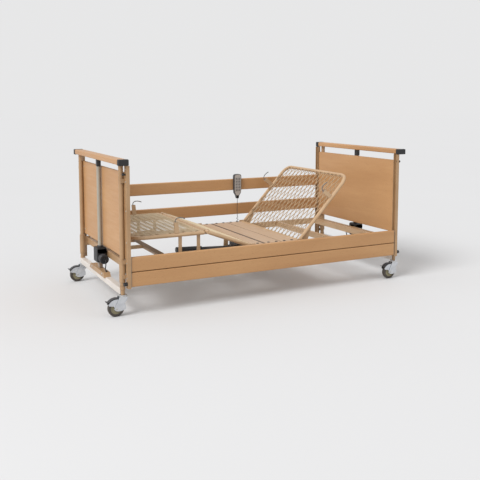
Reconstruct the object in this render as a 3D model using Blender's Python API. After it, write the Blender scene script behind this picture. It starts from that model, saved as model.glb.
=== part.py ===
"""Adjustable care bed, built as an assembly of separate pieces.

Two end bases on castors stand on the floor. Each carries an electric lift that
raises its end board by 400 mm, and the lying frame hangs between the boards.
The lying surface has a backrest, a fixed seat, a thigh rest and a calf rest.
Four wooden rails, two a side, slide up and down in channels on the end boards.

Units are metres. +X points to the head end, -Y is the lying person's left side,
+Z is up, and the floor is at Z = 0. The pieces stand as drawn here: backrest
and legs raised, left rails lowered, right rails raised, lifts at the bottom.
"""
import math

import bpy
import bmesh
from mathutils import Matrix, Vector

# ---------------------------------------------------------------- dimensions
GAP = 0.0003                    # between pieces that touch
CENTRE_SHIFT = 0.0355           # puts the middle of the whole bed at X = 0

# End bases, columns and lifts. X values are distances from the frame's middle.
COLUMN_X = 1.030
COLUMN_Y = 0.4725
COLUMN_RADIUS = 0.0148
COLUMN_BORE = 0.0132
COLUMN_BOTTOM = 0.205
SLEEVE_RADIUS = 0.0190
SLEEVE_TOP = 0.332
LEG_RADIUS = 0.0122
LEG_TOP = 0.760
CROSSBAR_LOW = 0.130
CROSSBAR_HIGH = 0.170
CROSSBAR_HALF_Y = 0.4700
CROSSBAR_HALF_X = 0.020
BRACKET_TOP = 0.196             # raised middle of the crossbar, which carries the lift
LIFT_AXIS_X = 1.033
LIFT_HOUSING_LOW = 0.238
LIFT_HOUSING_HIGH = 0.335
LIFT_TUBE_RADIUS = 0.0135
LIFT_TUBE_BORE = 0.0110
LIFT_TUBE_TOP = 0.868
LIFT_ROD_RADIUS = 0.0100

# End boards.
PANEL_INNER_X = 0.9989
PANEL_OUTER_X = 1.0149
PANEL_HALF_Y = 0.487
PANEL_LOW = 0.348
PANEL_HIGH = 0.869
TOP_RAIL_INNER_X = 1.000
TOP_RAIL_OUTER_X = 1.062
TOP_RAIL_LOW = 0.916
TOP_RAIL_HIGH = 0.949
TOP_RAIL_HALF_Y = 0.505
CAP_END_Y = 0.540
BOARD_TUBE_INNER_X = 0.970
BOARD_TUBE_OUTER_X = 0.995
BOARD_TUBE_LOW = 0.270
BOARD_TUBE_HIGH = 0.312

# Guide channels and side rails.
CHANNEL_INNER_X = 0.993
CHANNEL_OUTER_X = 1.0138
CHANNEL_INNER_Y = 0.4920
CHANNEL_OUTER_Y = 0.5300
CHANNEL_WALL = 0.0025
CHANNEL_LOW = 0.1725
CHANNEL_HIGH = 0.9115
CHANNEL_TAB_HEIGHTS = (0.240, 0.330, 0.820)
CHANNEL_KNOB_HEIGHT = 0.200
CHANNEL_KNOB_RADIUS = 0.0115
RELEASE_HEIGHT = 0.860
RELEASE_Y = 0.511
RAIL_HALF_LENGTH = 0.9915
RAIL_INNER_Y = 0.4960
RAIL_OUTER_Y = 0.5250
RAIL_HEIGHT = 0.088
RAIL_LOW_DOWN = 0.180           # lower rail's underside when lowered
RAIL_HIGH_DOWN = 0.272          # upper rail's underside when lowered
RAIL_LOW_LIFT = 0.212
RAIL_HIGH_LIFT = 0.316
TONGUE_REACH = 0.0145

# Lying frame and lying surface.
FRAME_INNER_Y = 0.4360
FRAME_OUTER_Y = 0.4620
FRAME_LOW = 0.273
FRAME_HIGH = 0.3165
FRAME_END_X = 0.9695
FRAME_MIDDLE_X = 0.045
TUBE_RADIUS = 0.0125
SECTION_Y = 0.420
HINGE_Z = 0.333
BACK_HINGE_X = 0.243
BACK_LENGTH = 0.590
BACK_ANGLE = math.radians(47.0)
BACK_RETAINER = 0.390           # from the hinge to the mattress retainers
THIGH_HINGE_X = -0.130
THIGH_LENGTH = 0.330
THIGH_ANGLE = math.radians(21.0)
CALF_LENGTH = 0.502
CORNER_RADIUS = 0.070
EAR_DROP = 0.018                # how far hinge ears reach below a tube's middle
CALF_RETAINER_X = -0.655
RETAINER_STEM = 0.070
STIRRUP_LOW_X = -0.640
STIRRUP_HIGH_X = -0.492
STIRRUP_DROP = 0.126
STIRRUP_BAR = 0.022
STAY_LENGTH = 0.205
STAY_HALF_WIDTH = 0.012
STAY_Y = 0.350
STAY_REST_Z = 0.308             # top of the brackets that the stay's arms stand on
MESH_THICKNESS = 0.003
MESH_OFFSET = 0.0075            # the wire mesh lies this far above the tubes' middle

# Drive under the seat, with a slotted lever on each section.
DRIVE_LOW_X = -0.045
DRIVE_HIGH_X = 0.135
DRIVE_AXIS_Z = 0.258
DRIVE_ROD_Y = 0.045
DRIVE_ROD_RADIUS = 0.010
LEG_MOTOR_Y = -0.085
LEG_MOTOR_RADIUS = 0.020
LEG_MOTOR_TUBE_RADIUS = 0.0135
LEVER_DROP = HINGE_Z - DRIVE_AXIS_Z
LEVER_RATIO = 1.07 * LEVER_DROP     # metres of rod travel for each radian of a section
BACK_LEVER_ANGLE = math.radians(12.0)
LEG_LEVER_ANGLE = math.radians(3.5)

# Castors.
CASTOR_TOP = 0.129
WHEEL_RADIUS = 0.050
WHEEL_HALF_WIDTH = 0.015
CASTOR_TRAIL = 0.045

# Handset and its curly cord.
HANDSET_X = 0.222
HANDSET_FRONT_Y = 0.4690
HANDSET_BACK_Y = 0.4955
HANDSET_LOW = 0.522
HANDSET_HIGH = 0.716
CORD_RADIUS = 0.0030
COIL_RADIUS = 0.0085
CORD_Y = 0.4790
SOCKET_X = 0.300
COIL_TOP = 0.384

# ------------------------------------------------------------------ materials
COLOURS = {
    "beech_laminate": ((0.55, 0.34, 0.17), 0.40, 0.0),
    "beige_paint": ((0.50, 0.36, 0.21), 0.45, 0.1),
    "wire_paint": ((0.60, 0.47, 0.32), 0.45, 0.1),
    "black_plastic": ((0.015, 0.015, 0.016), 0.50, 0.0),
    "grey_plastic": ((0.20, 0.21, 0.23), 0.50, 0.0),
    "grey_steel": ((0.42, 0.43, 0.46), 0.35, 0.6),
    "chrome": ((0.75, 0.77, 0.80), 0.18, 1.0),
    "tyre": ((0.20, 0.19, 0.17), 0.65, 0.0),
    "cord": ((0.05, 0.05, 0.055), 0.55, 0.0),
}


def make_material(name):
    colour, roughness, metallic = COLOURS[name]
    material = bpy.data.materials.new(name)
    material.use_nodes = True
    shader = material.node_tree.nodes["Principled BSDF"]
    shader.inputs["Base Color"].default_value = (*colour, 1.0)
    shader.inputs["Roughness"].default_value = roughness
    shader.inputs["Metallic"].default_value = metallic
    return material


# -------------------------------------------------------------- shape helpers
def add_object(name, mesh):
    obj = bpy.data.objects.new(name, mesh)
    bpy.context.scene.collection.objects.link(obj)
    return obj


def from_bmesh(name, bm):
    bmesh.ops.recalc_face_normals(bm, faces=bm.faces)
    mesh = bpy.data.meshes.new(name)
    bm.to_mesh(mesh)
    bm.free()
    return add_object(name, mesh)


def box(name, low, high, bevel=0.0, segments=2):
    """Box between two corners, its edges rounded by bevel."""
    bm = bmesh.new()
    low = Vector(low)
    high = Vector(high)
    size = high - low
    place = Matrix.Translation((low + high) / 2) @ Matrix.Diagonal((*size, 1.0))
    bmesh.ops.create_cube(bm, size=1.0, matrix=place)
    if bevel:
        bmesh.ops.bevel(bm, geom=bm.edges[:], offset=bevel, segments=segments,
                        profile=0.5, affect="EDGES")
    return from_bmesh(name, bm)


def cylinder(name, start, end, radius, sides=16):
    start = Vector(start)
    end = Vector(end)
    axis = end - start
    turn = axis.to_track_quat("Z", "Y").to_matrix().to_4x4()
    bm = bmesh.new()
    bmesh.ops.create_cone(bm, cap_ends=True, segments=sides, radius1=radius,
                          radius2=radius, depth=axis.length,
                          matrix=Matrix.Translation((start + end) / 2) @ turn)
    return from_bmesh(name, bm)


def prism(name, outline, axis, start, end):
    """Extrude an outline. The outline's two coordinates are the other two axes in order."""
    def place(point, along):
        coordinates = list(point)
        coordinates.insert("XYZ".index(axis), along)
        return coordinates
    bm = bmesh.new()
    first = [bm.verts.new(place(point, start)) for point in outline]
    second = [bm.verts.new(place(point, end)) for point in outline]
    bm.faces.new(first)
    bm.faces.new(second)
    count = len(outline)
    for i in range(count):
        j = (i + 1) % count
        bm.faces.new((first[i], first[j], second[j], second[i]))
    return from_bmesh(name, bm)


def lathe(name, profile, centre, axis, sides):
    """Turn a closed profile of (radius, along) points round an axis through centre."""
    bm = bmesh.new()
    rings = []
    for k in range(sides):
        angle = 2 * math.pi * k / sides
        ring = []
        for radius, along in profile:
            across = (radius * math.cos(angle), radius * math.sin(angle))
            coordinates = list(across)
            coordinates.insert("XYZ".index(axis), along)
            ring.append(bm.verts.new(Vector(coordinates) + Vector(centre)))
        rings.append(ring)
    count = len(profile)
    for k in range(sides):
        ring = rings[k]
        following = rings[(k + 1) % sides]
        for i in range(count):
            j = (i + 1) % count
            bm.faces.new((ring[i], ring[j], following[j], following[i]))
    return from_bmesh(name, bm)


def swept(name, points, radius, resolution=2):
    """Round bar along a line of points, with flat filled ends."""
    curve = bpy.data.curves.new(name, "CURVE")
    curve.dimensions = "3D"
    curve.bevel_depth = radius
    curve.bevel_resolution = resolution
    curve.use_fill_caps = True
    spline = curve.splines.new("POLY")
    spline.points.add(len(points) - 1)
    for spline_point, point in zip(spline.points, points):
        spline_point.co = (*point, 1.0)
    obj = bpy.data.objects.new(name, curve)
    bpy.context.scene.collection.objects.link(obj)
    return obj


def evaluated_mesh(obj):
    graph = bpy.context.evaluated_depsgraph_get()
    return bpy.data.meshes.new_from_object(obj.evaluated_get(graph))


def combine(base, tools, operation):
    """Boolean the tools into the base one after another, and remove them."""
    if base.type == "CURVE":
        base = solid_copy(base)
    for tool in tools:
        if tool.type == "CURVE":
            tool = solid_copy(tool)
        modifier = base.modifiers.new(operation.lower(), "BOOLEAN")
        modifier.operation = operation
        modifier.solver = "EXACT"
        modifier.object = tool
        bpy.context.view_layer.update()
        mesh = evaluated_mesh(base)
        base.modifiers.clear()
        old_mesh = base.data
        base.data = mesh
        bpy.data.meshes.remove(old_mesh)
        bpy.data.objects.remove(tool)
    return base


def solid_copy(curve_object):
    """Replace a swept bar's curve with the mesh of its surface."""
    bpy.context.view_layer.update()
    name = curve_object.name
    mesh = evaluated_mesh(curve_object)
    bpy.data.objects.remove(curve_object)
    bm = bmesh.new()
    bm.from_mesh(mesh)
    bmesh.ops.remove_doubles(bm, verts=bm.verts, dist=1e-6)
    bpy.data.meshes.remove(mesh)
    return from_bmesh(name, bm)


def join(base, tools):
    return combine(base, tools, "UNION")


def cut(base, tools):
    return combine(base, tools, "DIFFERENCE")


def finish(obj, name, material, origin=(0.0, 0.0, 0.0), angle=0.0, smooth=True):
    """Name a piece, move its origin to its joint and turn it about Y into its place."""
    if obj.type == "CURVE":
        obj = solid_copy(obj)
    obj.name = name
    obj.data.name = name
    obj.data.materials.clear()
    obj.data.materials.append(MATERIALS[material])
    obj.data.transform(Matrix.Translation(-Vector(origin)))
    obj.location = origin
    obj.rotation_euler = (0.0, angle, 0.0)
    if smooth:
        obj.data.shade_smooth()
        obj.data.set_sharp_from_angle(angle=math.radians(35))
    obj.parent = BED_MIDDLE
    return obj


def arc(centre, radius, start, end, steps):
    """Points on an arc in a plane, from one angle to another, in degrees."""
    points = []
    for k in range(steps + 1):
        angle = math.radians(start + (end - start) * k / steps)
        points.append((centre[0] + radius * math.cos(angle),
                       centre[1] + radius * math.sin(angle)))
    return points


def bent_frame(start_x, end_x, half_y, corner, z):
    """Line of a U-shaped bent tube in a level plane, open at start_x."""
    direction = 1.0 if end_x > start_x else -1.0
    inner_x = abs(end_x - start_x) - corner
    inner_y = half_y - corner
    line = [(0.0, -half_y)]
    line += arc((inner_x, -inner_y), corner, -90, 0, 6)
    line += arc((inner_x, inner_y), corner, 0, 90, 6)
    line.append((0.0, half_y))
    return [(start_x + direction * x, y, z) for x, y in line]


# ------------------------------------------------------------- base and lifts
def end_base(end, sign):
    """Crossbar with the two inner legs that the end board's columns slide on."""
    low_x = COLUMN_X - CROSSBAR_HALF_X
    high_x = COLUMN_X + CROSSBAR_HALF_X
    bar = box("bar", (sign * COLUMN_X - CROSSBAR_HALF_X, -CROSSBAR_HALF_Y, CROSSBAR_LOW),
              (sign * COLUMN_X + CROSSBAR_HALF_X, CROSSBAR_HALF_Y, CROSSBAR_HIGH), 0.004)
    base_z = CROSSBAR_HIGH - 0.005
    bracket_outline = [(-0.182, base_z), (0.182, base_z), (0.155, BRACKET_TOP),
                       (-0.155, BRACKET_TOP)]
    edges = sorted((sign * (low_x + 0.004), sign * (high_x + 0.008)))
    bracket = prism("bracket", bracket_outline, "X", *edges)
    tools = [bracket]
    for side in (-1, 1):
        y = side * COLUMN_Y
        tools.append(cylinder("leg", (sign * COLUMN_X, y, CASTOR_TOP + GAP),
                              (sign * COLUMN_X, y, LEG_TOP), LEG_RADIUS))
        tools.append(cylinder("collar", (sign * COLUMN_X, y, 0.160),
                              (sign * COLUMN_X, y, 0.182), 0.0165))
    base = join(bar, tools)
    sockets = [cylinder("socket", (sign * COLUMN_X, side * COLUMN_Y, 0.120),
                        (sign * COLUMN_X, side * COLUMN_Y, 0.168), 0.0062)
               for side in (-1, 1)]
    base = cut(base, sockets)
    finish(base, f"base_frame_{end}", "beige_paint")


def lift_actuator(end, sign):
    """Gear housing with its motor, and the outer tube that stands on it."""
    axis_x = sign * LIFT_AXIS_X
    motor_z = LIFT_HOUSING_LOW + 0.030
    housing = box("housing", (axis_x - 0.033, -0.045, LIFT_HOUSING_LOW),
                  (axis_x + 0.033, 0.045, LIFT_HOUSING_HIGH), 0.008)
    motor = cylinder("motor", (axis_x, sign * 0.030, motor_z),
                     (axis_x, sign * 0.105, motor_z), 0.0285, 20)
    stub = cylinder("stub", (axis_x, sign * 0.100, motor_z),
                    (axis_x, sign * 0.118, motor_z), 0.012)
    lug = box("lug", (axis_x - 0.012, -0.020, BRACKET_TOP + GAP),
              (axis_x + 0.012, 0.020, 0.245), 0.002)
    tube = cylinder("tube", (axis_x, 0, 0.320), (axis_x, 0, LIFT_TUBE_TOP),
                    LIFT_TUBE_RADIUS)
    whole = join(housing, [motor, stub, lug, tube])
    bore = cylinder("bore", (axis_x, 0, 0.300), (axis_x, 0, LIFT_TUBE_TOP + 0.010),
                    LIFT_TUBE_BORE)
    whole = cut(whole, [bore])
    finish(whole, f"lift_actuator_{end}", "black_plastic")


def lift_rod(end, sign):
    """Sliding rod with the fork that carries the end board's top rail."""
    axis_x = sign * LIFT_AXIS_X
    rod = cylinder("rod", (axis_x, 0, 0.310), (axis_x, 0, 0.880), LIFT_ROD_RADIUS)
    fork = box("fork", (axis_x - 0.013, -0.017, LIFT_TUBE_TOP + 0.001),
               (axis_x + 0.013, 0.017, TOP_RAIL_LOW - GAP), 0.003)
    finish(join(rod, [fork]), f"lift_rod_{end}", "grey_steel")


# ------------------------------------------------------------------ castors
def castor(end, side_name, x, y):
    """Swivelling fork, wheel and brake pedal. The wheel trails towards the foot end."""
    wheel_x = x - CASTOR_TRAIL
    name = f"castor_{end}_{side_name}"

    cheek_outline = [(x + 0.022, 0.120), (x + 0.022, 0.100), (wheel_x + 0.012, 0.040),
                     (wheel_x - 0.004, 0.037), (wheel_x - 0.016, 0.048), (x - 0.026, 0.120)]
    cheeks = [prism("cheek", cheek_outline, "Y", y + side * 0.0180, y + side * 0.0215)
              for side in (-1, 1)]
    bridge = box("bridge", (x - 0.024, y - 0.0205, 0.1070), (x + 0.021, y + 0.0205, 0.1195))
    disc = cylinder("disc", (x, y, 0.115), (x, y, CASTOR_TOP), 0.0240, 20)
    stem = cylinder("stem", (x, y, 0.120), (x, y, 0.1650), 0.0055, 12)
    axle = cylinder("axle", (wheel_x, y - 0.0195, 0.050), (wheel_x, y + 0.0195, 0.050),
                    0.0040, 12)
    fork = join(bridge, [disc, stem, *cheeks, axle])
    finish(fork, f"{name}_fork", "chrome", (x, y, 0.120))

    half = WHEEL_HALF_WIDTH
    profile = [(0.0045, -half), (0.016, -half), (0.018, -half + 0.003), (0.042, -half + 0.002),
               (WHEEL_RADIUS, -half + 0.008), (WHEEL_RADIUS, half - 0.008),
               (0.042, half - 0.002), (0.018, half - 0.003), (0.016, half), (0.0045, half)]
    wheel = lathe("wheel", profile, (wheel_x, y, WHEEL_RADIUS), "Y", 24)
    finish(wheel, f"{name}_wheel", "tyre", (wheel_x, y, WHEEL_RADIUS))

    outer = arc((wheel_x, WHEEL_RADIUS), 0.0640, 78, 138, 6)
    inner = arc((wheel_x, WHEEL_RADIUS), 0.0600, 138, 78, 6)
    lip = [(wheel_x - 0.0600, 0.0965), (wheel_x - 0.0620, 0.0930)]
    pedal = prism("pedal", outer + lip + inner, "Y", y - 0.0165, y + 0.0165)
    pivot = (wheel_x + 0.0120, y, 0.1110)
    finish(pedal, f"{name}_pedal", "grey_plastic", pivot)


# ---------------------------------------------------------------- end boards
def board_frame(end, sign):
    """Two columns with their lower sleeves, tied by a cross tube under the panel."""
    tube_edges = sorted((sign * BOARD_TUBE_INNER_X, sign * BOARD_TUBE_OUTER_X))
    cross = box("cross", (tube_edges[0], -0.468, BOARD_TUBE_LOW),
                (tube_edges[1], 0.468, BOARD_TUBE_HIGH), 0.003)
    tools = []
    bores = []
    for side in (-1, 1):
        y = side * COLUMN_Y
        plate_edges = sorted((sign * (BOARD_TUBE_INNER_X + 0.002), sign * (COLUMN_X - 0.004)))
        tools.append(box("plate", (plate_edges[0], y - 0.008, BOARD_TUBE_LOW - 0.012),
                         (plate_edges[1], y + 0.0045, BOARD_TUBE_HIGH + 0.012)))
        tools.append(cylinder("column", (sign * COLUMN_X, y, COLUMN_BOTTOM),
                              (sign * COLUMN_X, y, TOP_RAIL_LOW - GAP), COLUMN_RADIUS))
        tools.append(cylinder("sleeve", (sign * COLUMN_X, y, COLUMN_BOTTOM),
                              (sign * COLUMN_X, y, SLEEVE_TOP), SLEEVE_RADIUS))
        bores.append(cylinder("bore", (sign * COLUMN_X, y, COLUMN_BOTTOM - 0.010),
                              (sign * COLUMN_X, y, TOP_RAIL_LOW - 0.020), COLUMN_BORE))
    frame = cut(join(cross, tools), bores)
    finish(frame, f"{end}_board_frame", "beige_paint")


def board_panel(end, sign):
    edges = sorted((sign * PANEL_INNER_X, sign * PANEL_OUTER_X))
    panel = box("panel", (edges[0], -PANEL_HALF_Y, PANEL_LOW),
                (edges[1], PANEL_HALF_Y, PANEL_HIGH), 0.002)
    finish(panel, f"{end}_panel", "beech_laminate")


def board_top_rail(end, sign):
    edges = sorted((sign * TOP_RAIL_INNER_X, sign * TOP_RAIL_OUTER_X))
    rail = box("rail", (edges[0], -TOP_RAIL_HALF_Y, TOP_RAIL_LOW),
               (edges[1], TOP_RAIL_HALF_Y, TOP_RAIL_HIGH), 0.006)
    finish(rail, f"{end}_top_rail", "beech_laminate")


def top_rail_cap(end, sign, side_name, side):
    edges_x = sorted((sign * (TOP_RAIL_INNER_X - 0.001), sign * (TOP_RAIL_OUTER_X + 0.001)))
    edges_y = sorted((side * (TOP_RAIL_HALF_Y + GAP), side * CAP_END_Y))
    cap = box("cap", (edges_x[0], edges_y[0], TOP_RAIL_LOW - 0.0035),
              (edges_x[1], edges_y[1], TOP_RAIL_HIGH + 0.001), 0.005)
    finish(cap, f"top_rail_cap_{end}_{side_name}", "black_plastic")


def guide_channel(end, sign, side_name, side):
    """U-shaped channel, open towards the side rails, with tabs that bolt to the column."""
    wall = CHANNEL_WALL
    inner = [(CHANNEL_INNER_X, CHANNEL_INNER_Y), (CHANNEL_OUTER_X, CHANNEL_INNER_Y),
             (CHANNEL_OUTER_X, CHANNEL_OUTER_Y), (CHANNEL_INNER_X, CHANNEL_OUTER_Y),
             (CHANNEL_INNER_X, CHANNEL_OUTER_Y - wall),
             (CHANNEL_OUTER_X - wall, CHANNEL_OUTER_Y - wall),
             (CHANNEL_OUTER_X - wall, CHANNEL_INNER_Y + wall),
             (CHANNEL_INNER_X, CHANNEL_INNER_Y + wall)]
    outline = [(sign * x, side * y) for x, y in inner]
    channel = prism("channel", outline, "Z", CHANNEL_LOW, CHANNEL_HIGH)
    tabs = []
    for height in CHANNEL_TAB_HEIGHTS:
        post = SLEEVE_RADIUS + 0.0006 if height < SLEEVE_TOP else COLUMN_RADIUS + GAP
        edges_x = sorted((sign * (CHANNEL_OUTER_X - 0.004), sign * (COLUMN_X + 0.010)))
        edges_y = sorted((side * (COLUMN_Y + post), side * 0.4965))
        tabs.append(box("tab", (edges_x[0], edges_y[0], height - 0.012),
                        (edges_x[1], edges_y[1], height + 0.012)))
    knob = cylinder("knob", (sign * (CHANNEL_OUTER_X - 0.0015), side * 0.516,
                             CHANNEL_KNOB_HEIGHT),
                    (sign * (CHANNEL_OUTER_X + 0.022), side * 0.516, CHANNEL_KNOB_HEIGHT),
                    CHANNEL_KNOB_RADIUS)
    channel = join(channel, [*tabs, knob])
    hole = cylinder("hole", (sign * (CHANNEL_OUTER_X - 0.010), side * RELEASE_Y,
                             RELEASE_HEIGHT),
                    (sign * (CHANNEL_OUTER_X + 0.010), side * RELEASE_Y, RELEASE_HEIGHT),
                    0.0062)
    channel = cut(channel, [hole])
    finish(channel, f"rail_channel_{end}_{side_name}", "beige_paint")


def release_button(end, sign, side_name, side):
    """Sprung push button through the channel's back that frees the side rails."""
    y = side * RELEASE_Y
    shaft = cylinder("shaft", (sign * 1.0060, y, RELEASE_HEIGHT),
                     (sign * 1.0300, y, RELEASE_HEIGHT), 0.0055)
    head = cylinder("head", (sign * 1.0210, y, RELEASE_HEIGHT),
                    (sign * 1.0340, y, RELEASE_HEIGHT), 0.0080)
    finish(join(shaft, [head]), f"rail_release_{end}_{side_name}", "beige_paint",
           (sign * CHANNEL_OUTER_X, y, RELEASE_HEIGHT))


# ----------------------------------------------------------------- side rails
def side_rail(side_name, side, level, low):
    """Wooden board with a tongue at each end that runs in the guide channel."""
    edges_y = sorted((side * RAIL_INNER_Y, side * RAIL_OUTER_Y))
    board = box("board", (-RAIL_HALF_LENGTH, edges_y[0], low),
                (RAIL_HALF_LENGTH, edges_y[1], low + RAIL_HEIGHT), 0.005)
    middle = side * (RAIL_INNER_Y + RAIL_OUTER_Y) / 2
    reach = RAIL_HALF_LENGTH + TONGUE_REACH
    tongue = box("tongue", (-reach, middle - 0.0085, low + 0.009),
                 (reach, middle + 0.0085, low + RAIL_HEIGHT - 0.009))
    finish(join(board, [tongue]), f"side_rail_{side_name}_{level}", "beech_laminate")


# ----------------------------------------------------------------- lying frame
def bearing_ears(x):
    """Ears on the frame's side tubes that hold a section's hinge tube."""
    ears = []
    for side in (-1, 1):
        edges_y = sorted((side * FRAME_INNER_Y, side * (FRAME_INNER_Y + 0.007)))
        ears.append(box("ear", (x - 0.022, edges_y[0], FRAME_HIGH - 0.010),
                        (x + 0.022, edges_y[1], HINGE_Z + 0.019)))
    return ears


def bearing_hole(x):
    return cylinder("hole", (x, -0.470, HINGE_Z), (x, 0.470, HINGE_Z), TUBE_RADIUS + 0.0012, 20)


def cross_member(low_x, high_x, low_z, high_z):
    half_y = FRAME_INNER_Y + 0.010
    return box("member", (low_x, -half_y, low_z), (high_x, half_y, high_z))


def side_tubes(low_x, high_x):
    tubes = []
    for side in (-1, 1):
        edges_y = sorted((side * FRAME_INNER_Y, side * FRAME_OUTER_Y))
        tubes.append(box("side", (low_x, edges_y[0], FRAME_LOW),
                         (high_x, edges_y[1], FRAME_HIGH)))
    return tubes


def lying_frame():
    drive_top = 0.2945
    left, right = side_tubes(FRAME_MIDDLE_X + GAP, FRAME_END_X)
    head = join(left, [
        right,
        cross_member(FRAME_MIDDLE_X + 0.001, FRAME_MIDDLE_X + 0.032, drive_top, 0.3155),
        cross_member(0.560, 0.590, 0.276, 0.3145),
        cross_member(0.915, 0.945, 0.276, 0.3145),
        *bearing_ears(BACK_HINGE_X),
        cylinder("gland", (SOCKET_X, 0.449, 0.280), (SOCKET_X, 0.449, 0.258), 0.0110),
    ])
    head = cut(head, [bearing_hole(BACK_HINGE_X)])
    finish(head, "lying_frame_head", "beige_paint")

    left, right = side_tubes(-FRAME_END_X, FRAME_MIDDLE_X - GAP)
    spine = box("spine", (-0.930, 0.090, 0.277), (-0.683, 0.115, 0.2990))
    tie = box("tie", (-0.708, -FRAME_INNER_Y - 0.010, 0.2780), (-0.681, 0.112, 0.3010))
    rests = []
    for side in (-1, 1):
        edges_y = sorted((side * (STAY_Y - 0.015), side * (FRAME_INNER_Y + 0.010)))
        rests.append(box("rest", (-0.765, edges_y[0], 0.276),
                         (-0.690, edges_y[1], STAY_REST_Z)))
    foot = join(left, [
        right,
        cross_member(FRAME_MIDDLE_X - 0.032, FRAME_MIDDLE_X - 0.001, drive_top, 0.3155),
        cross_member(-0.945, -0.915, 0.276, 0.2940),
        spine,
        tie,
        *rests,
        *bearing_ears(THIGH_HINGE_X),
    ])
    foot = cut(foot, [bearing_hole(THIGH_HINGE_X)])
    finish(foot, "lying_frame_foot", "beige_paint")


def seat_slats():
    """Flat boards across the seat on two bearers."""
    bearers = []
    for side in (-1, 1):
        edges_y = sorted((side * 0.352, side * 0.376))
        bearers.append(box("bearer", (-0.108, edges_y[0], 0.3155 + GAP),
                           (0.222, edges_y[1], 0.3350)))
    slat_edges = [(-0.112, -0.038), (-0.022, 0.098), (0.101, 0.220)]
    slats = [box("slat", (low, -0.430, 0.3320), (high, 0.430, 0.3450), 0.003, 1)
             for low, high in slat_edges]
    finish(join(bearers[0], [bearers[1], *slats]), "seat_slats", "beige_paint")


def section_mesh(name, low_x, high_x, half_y, corner, end_round, z, origin, angle):
    """Flat panel that fills a section's tube frame, rounded like it at one end."""
    inner_x = high_x - corner if end_round > 0 else low_x + corner
    inner_y = half_y - corner
    if end_round > 0:
        outline = [(low_x, -half_y)]
        outline += arc((inner_x, -inner_y), corner, -90, 0, 5)
        outline += arc((inner_x, inner_y), corner, 0, 90, 5)
        outline += [(low_x, half_y)]
    else:
        outline = [(high_x, half_y)]
        outline += arc((inner_x, inner_y), corner, 90, 180, 5)
        outline += arc((inner_x, -inner_y), corner, 180, 270, 5)
        outline += [(high_x, -half_y)]
    panel = prism("panel", outline, "Z", z - MESH_THICKNESS / 2, z + MESH_THICKNESS / 2)
    finish(panel, name, "wire_paint", origin, angle)


def slotted_lever(hinge_x, y, rest_angle):
    """Blade that hangs from a hinge tube, with a slot for the drive rod's pin."""
    half = 0.0165
    outline = [(-half, 0.0), (half, 0.0), (half, -0.112), (-half, -0.112)]
    blade = prism("blade", outline, "Y", y - 0.004, y + 0.004)
    slot_half = 0.0085
    slot_outline = (arc((0.0, -0.0740), slot_half, 0, 180, 6)
                    + arc((0.0, -0.0950), slot_half, 180, 360, 6))
    slot = prism("slot", slot_outline, "Y", y - 0.010, y + 0.010)
    blade = cut(blade, [slot])
    turn = Matrix.Rotation(rest_angle, 4, "Y")
    blade.data.transform(Matrix.Translation((hinge_x, 0.0, HINGE_Z)) @ turn)
    return blade


def backrest():
    """Bent tube frame on its hinge tube, drawn flat and then turned up."""
    x = BACK_HINGE_X
    hinge = cylinder("hinge", (x, -0.4500, HINGE_Z), (x, 0.4500, HINGE_Z), TUBE_RADIUS)
    line = bent_frame(x + 0.003, x + BACK_LENGTH, SECTION_Y, CORNER_RADIUS, HINGE_Z)
    tube = swept("tube", line, TUBE_RADIUS - 0.0002)
    plates = []
    for side in (-1, 1):
        outline = [(x - 0.015, HINGE_Z + 0.006), (x - 0.015, HINGE_Z - 0.013),
                   (x + 0.022, HINGE_Z - 0.046), (x + 0.062, HINGE_Z - 0.046),
                   (x + 0.150, HINGE_Z - 0.006), (x + 0.150, HINGE_Z + 0.006)]
        plates.append(prism("plate", outline, "Y", side * 0.4168, side * 0.4225))
    lever = slotted_lever(x, DRIVE_ROD_Y, BACK_ANGLE - BACK_LEVER_ANGLE)
    frame = join(hinge, [tube, *plates, lever])
    finish(frame, "backrest_frame", "beige_paint", (x, 0.0, HINGE_Z), -BACK_ANGLE)

    clear = TUBE_RADIUS + 0.0006
    section_mesh("backrest_mesh", x + 0.016, x + BACK_LENGTH - clear, SECTION_Y - clear,
                 CORNER_RADIUS - clear, 1, HINGE_Z + MESH_OFFSET + 0.0035,
                 (x, 0.0, HINGE_Z), -BACK_ANGLE)
    for side_name, side in SIDES:
        retainer(f"mattress_retainer_back_{side_name}", x + BACK_RETAINER, side, HINGE_Z,
                 (x, 0.0, HINGE_Z), -BACK_ANGLE)


def retainer(name, x, side, tube_z, origin, angle):
    """Stem on a section's side tube, with a bent wire bow that stops the mattress."""
    y = side * SECTION_Y
    foot_z = tube_z + TUBE_RADIUS + GAP
    top_z = foot_z + RETAINER_STEM
    outline = [(x - 0.015, foot_z), (x + 0.015, foot_z), (x + 0.007, top_z), (x - 0.020, top_z)]
    stem = prism("stem", outline, "Y", y - 0.0055, y + 0.0055)
    bow = [(-0.010, -0.015), (-0.011, 0.008), (-0.006, 0.020), (0.006, 0.0262),
           (0.022, 0.0270), (0.040, 0.0240), (0.055, 0.0180)]
    hook = swept("hook", [(x + ahead, y, top_z + up) for ahead, up in bow], 0.0032)
    finish(join(stem, [hook]), name, "beige_paint", origin, angle)


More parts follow.
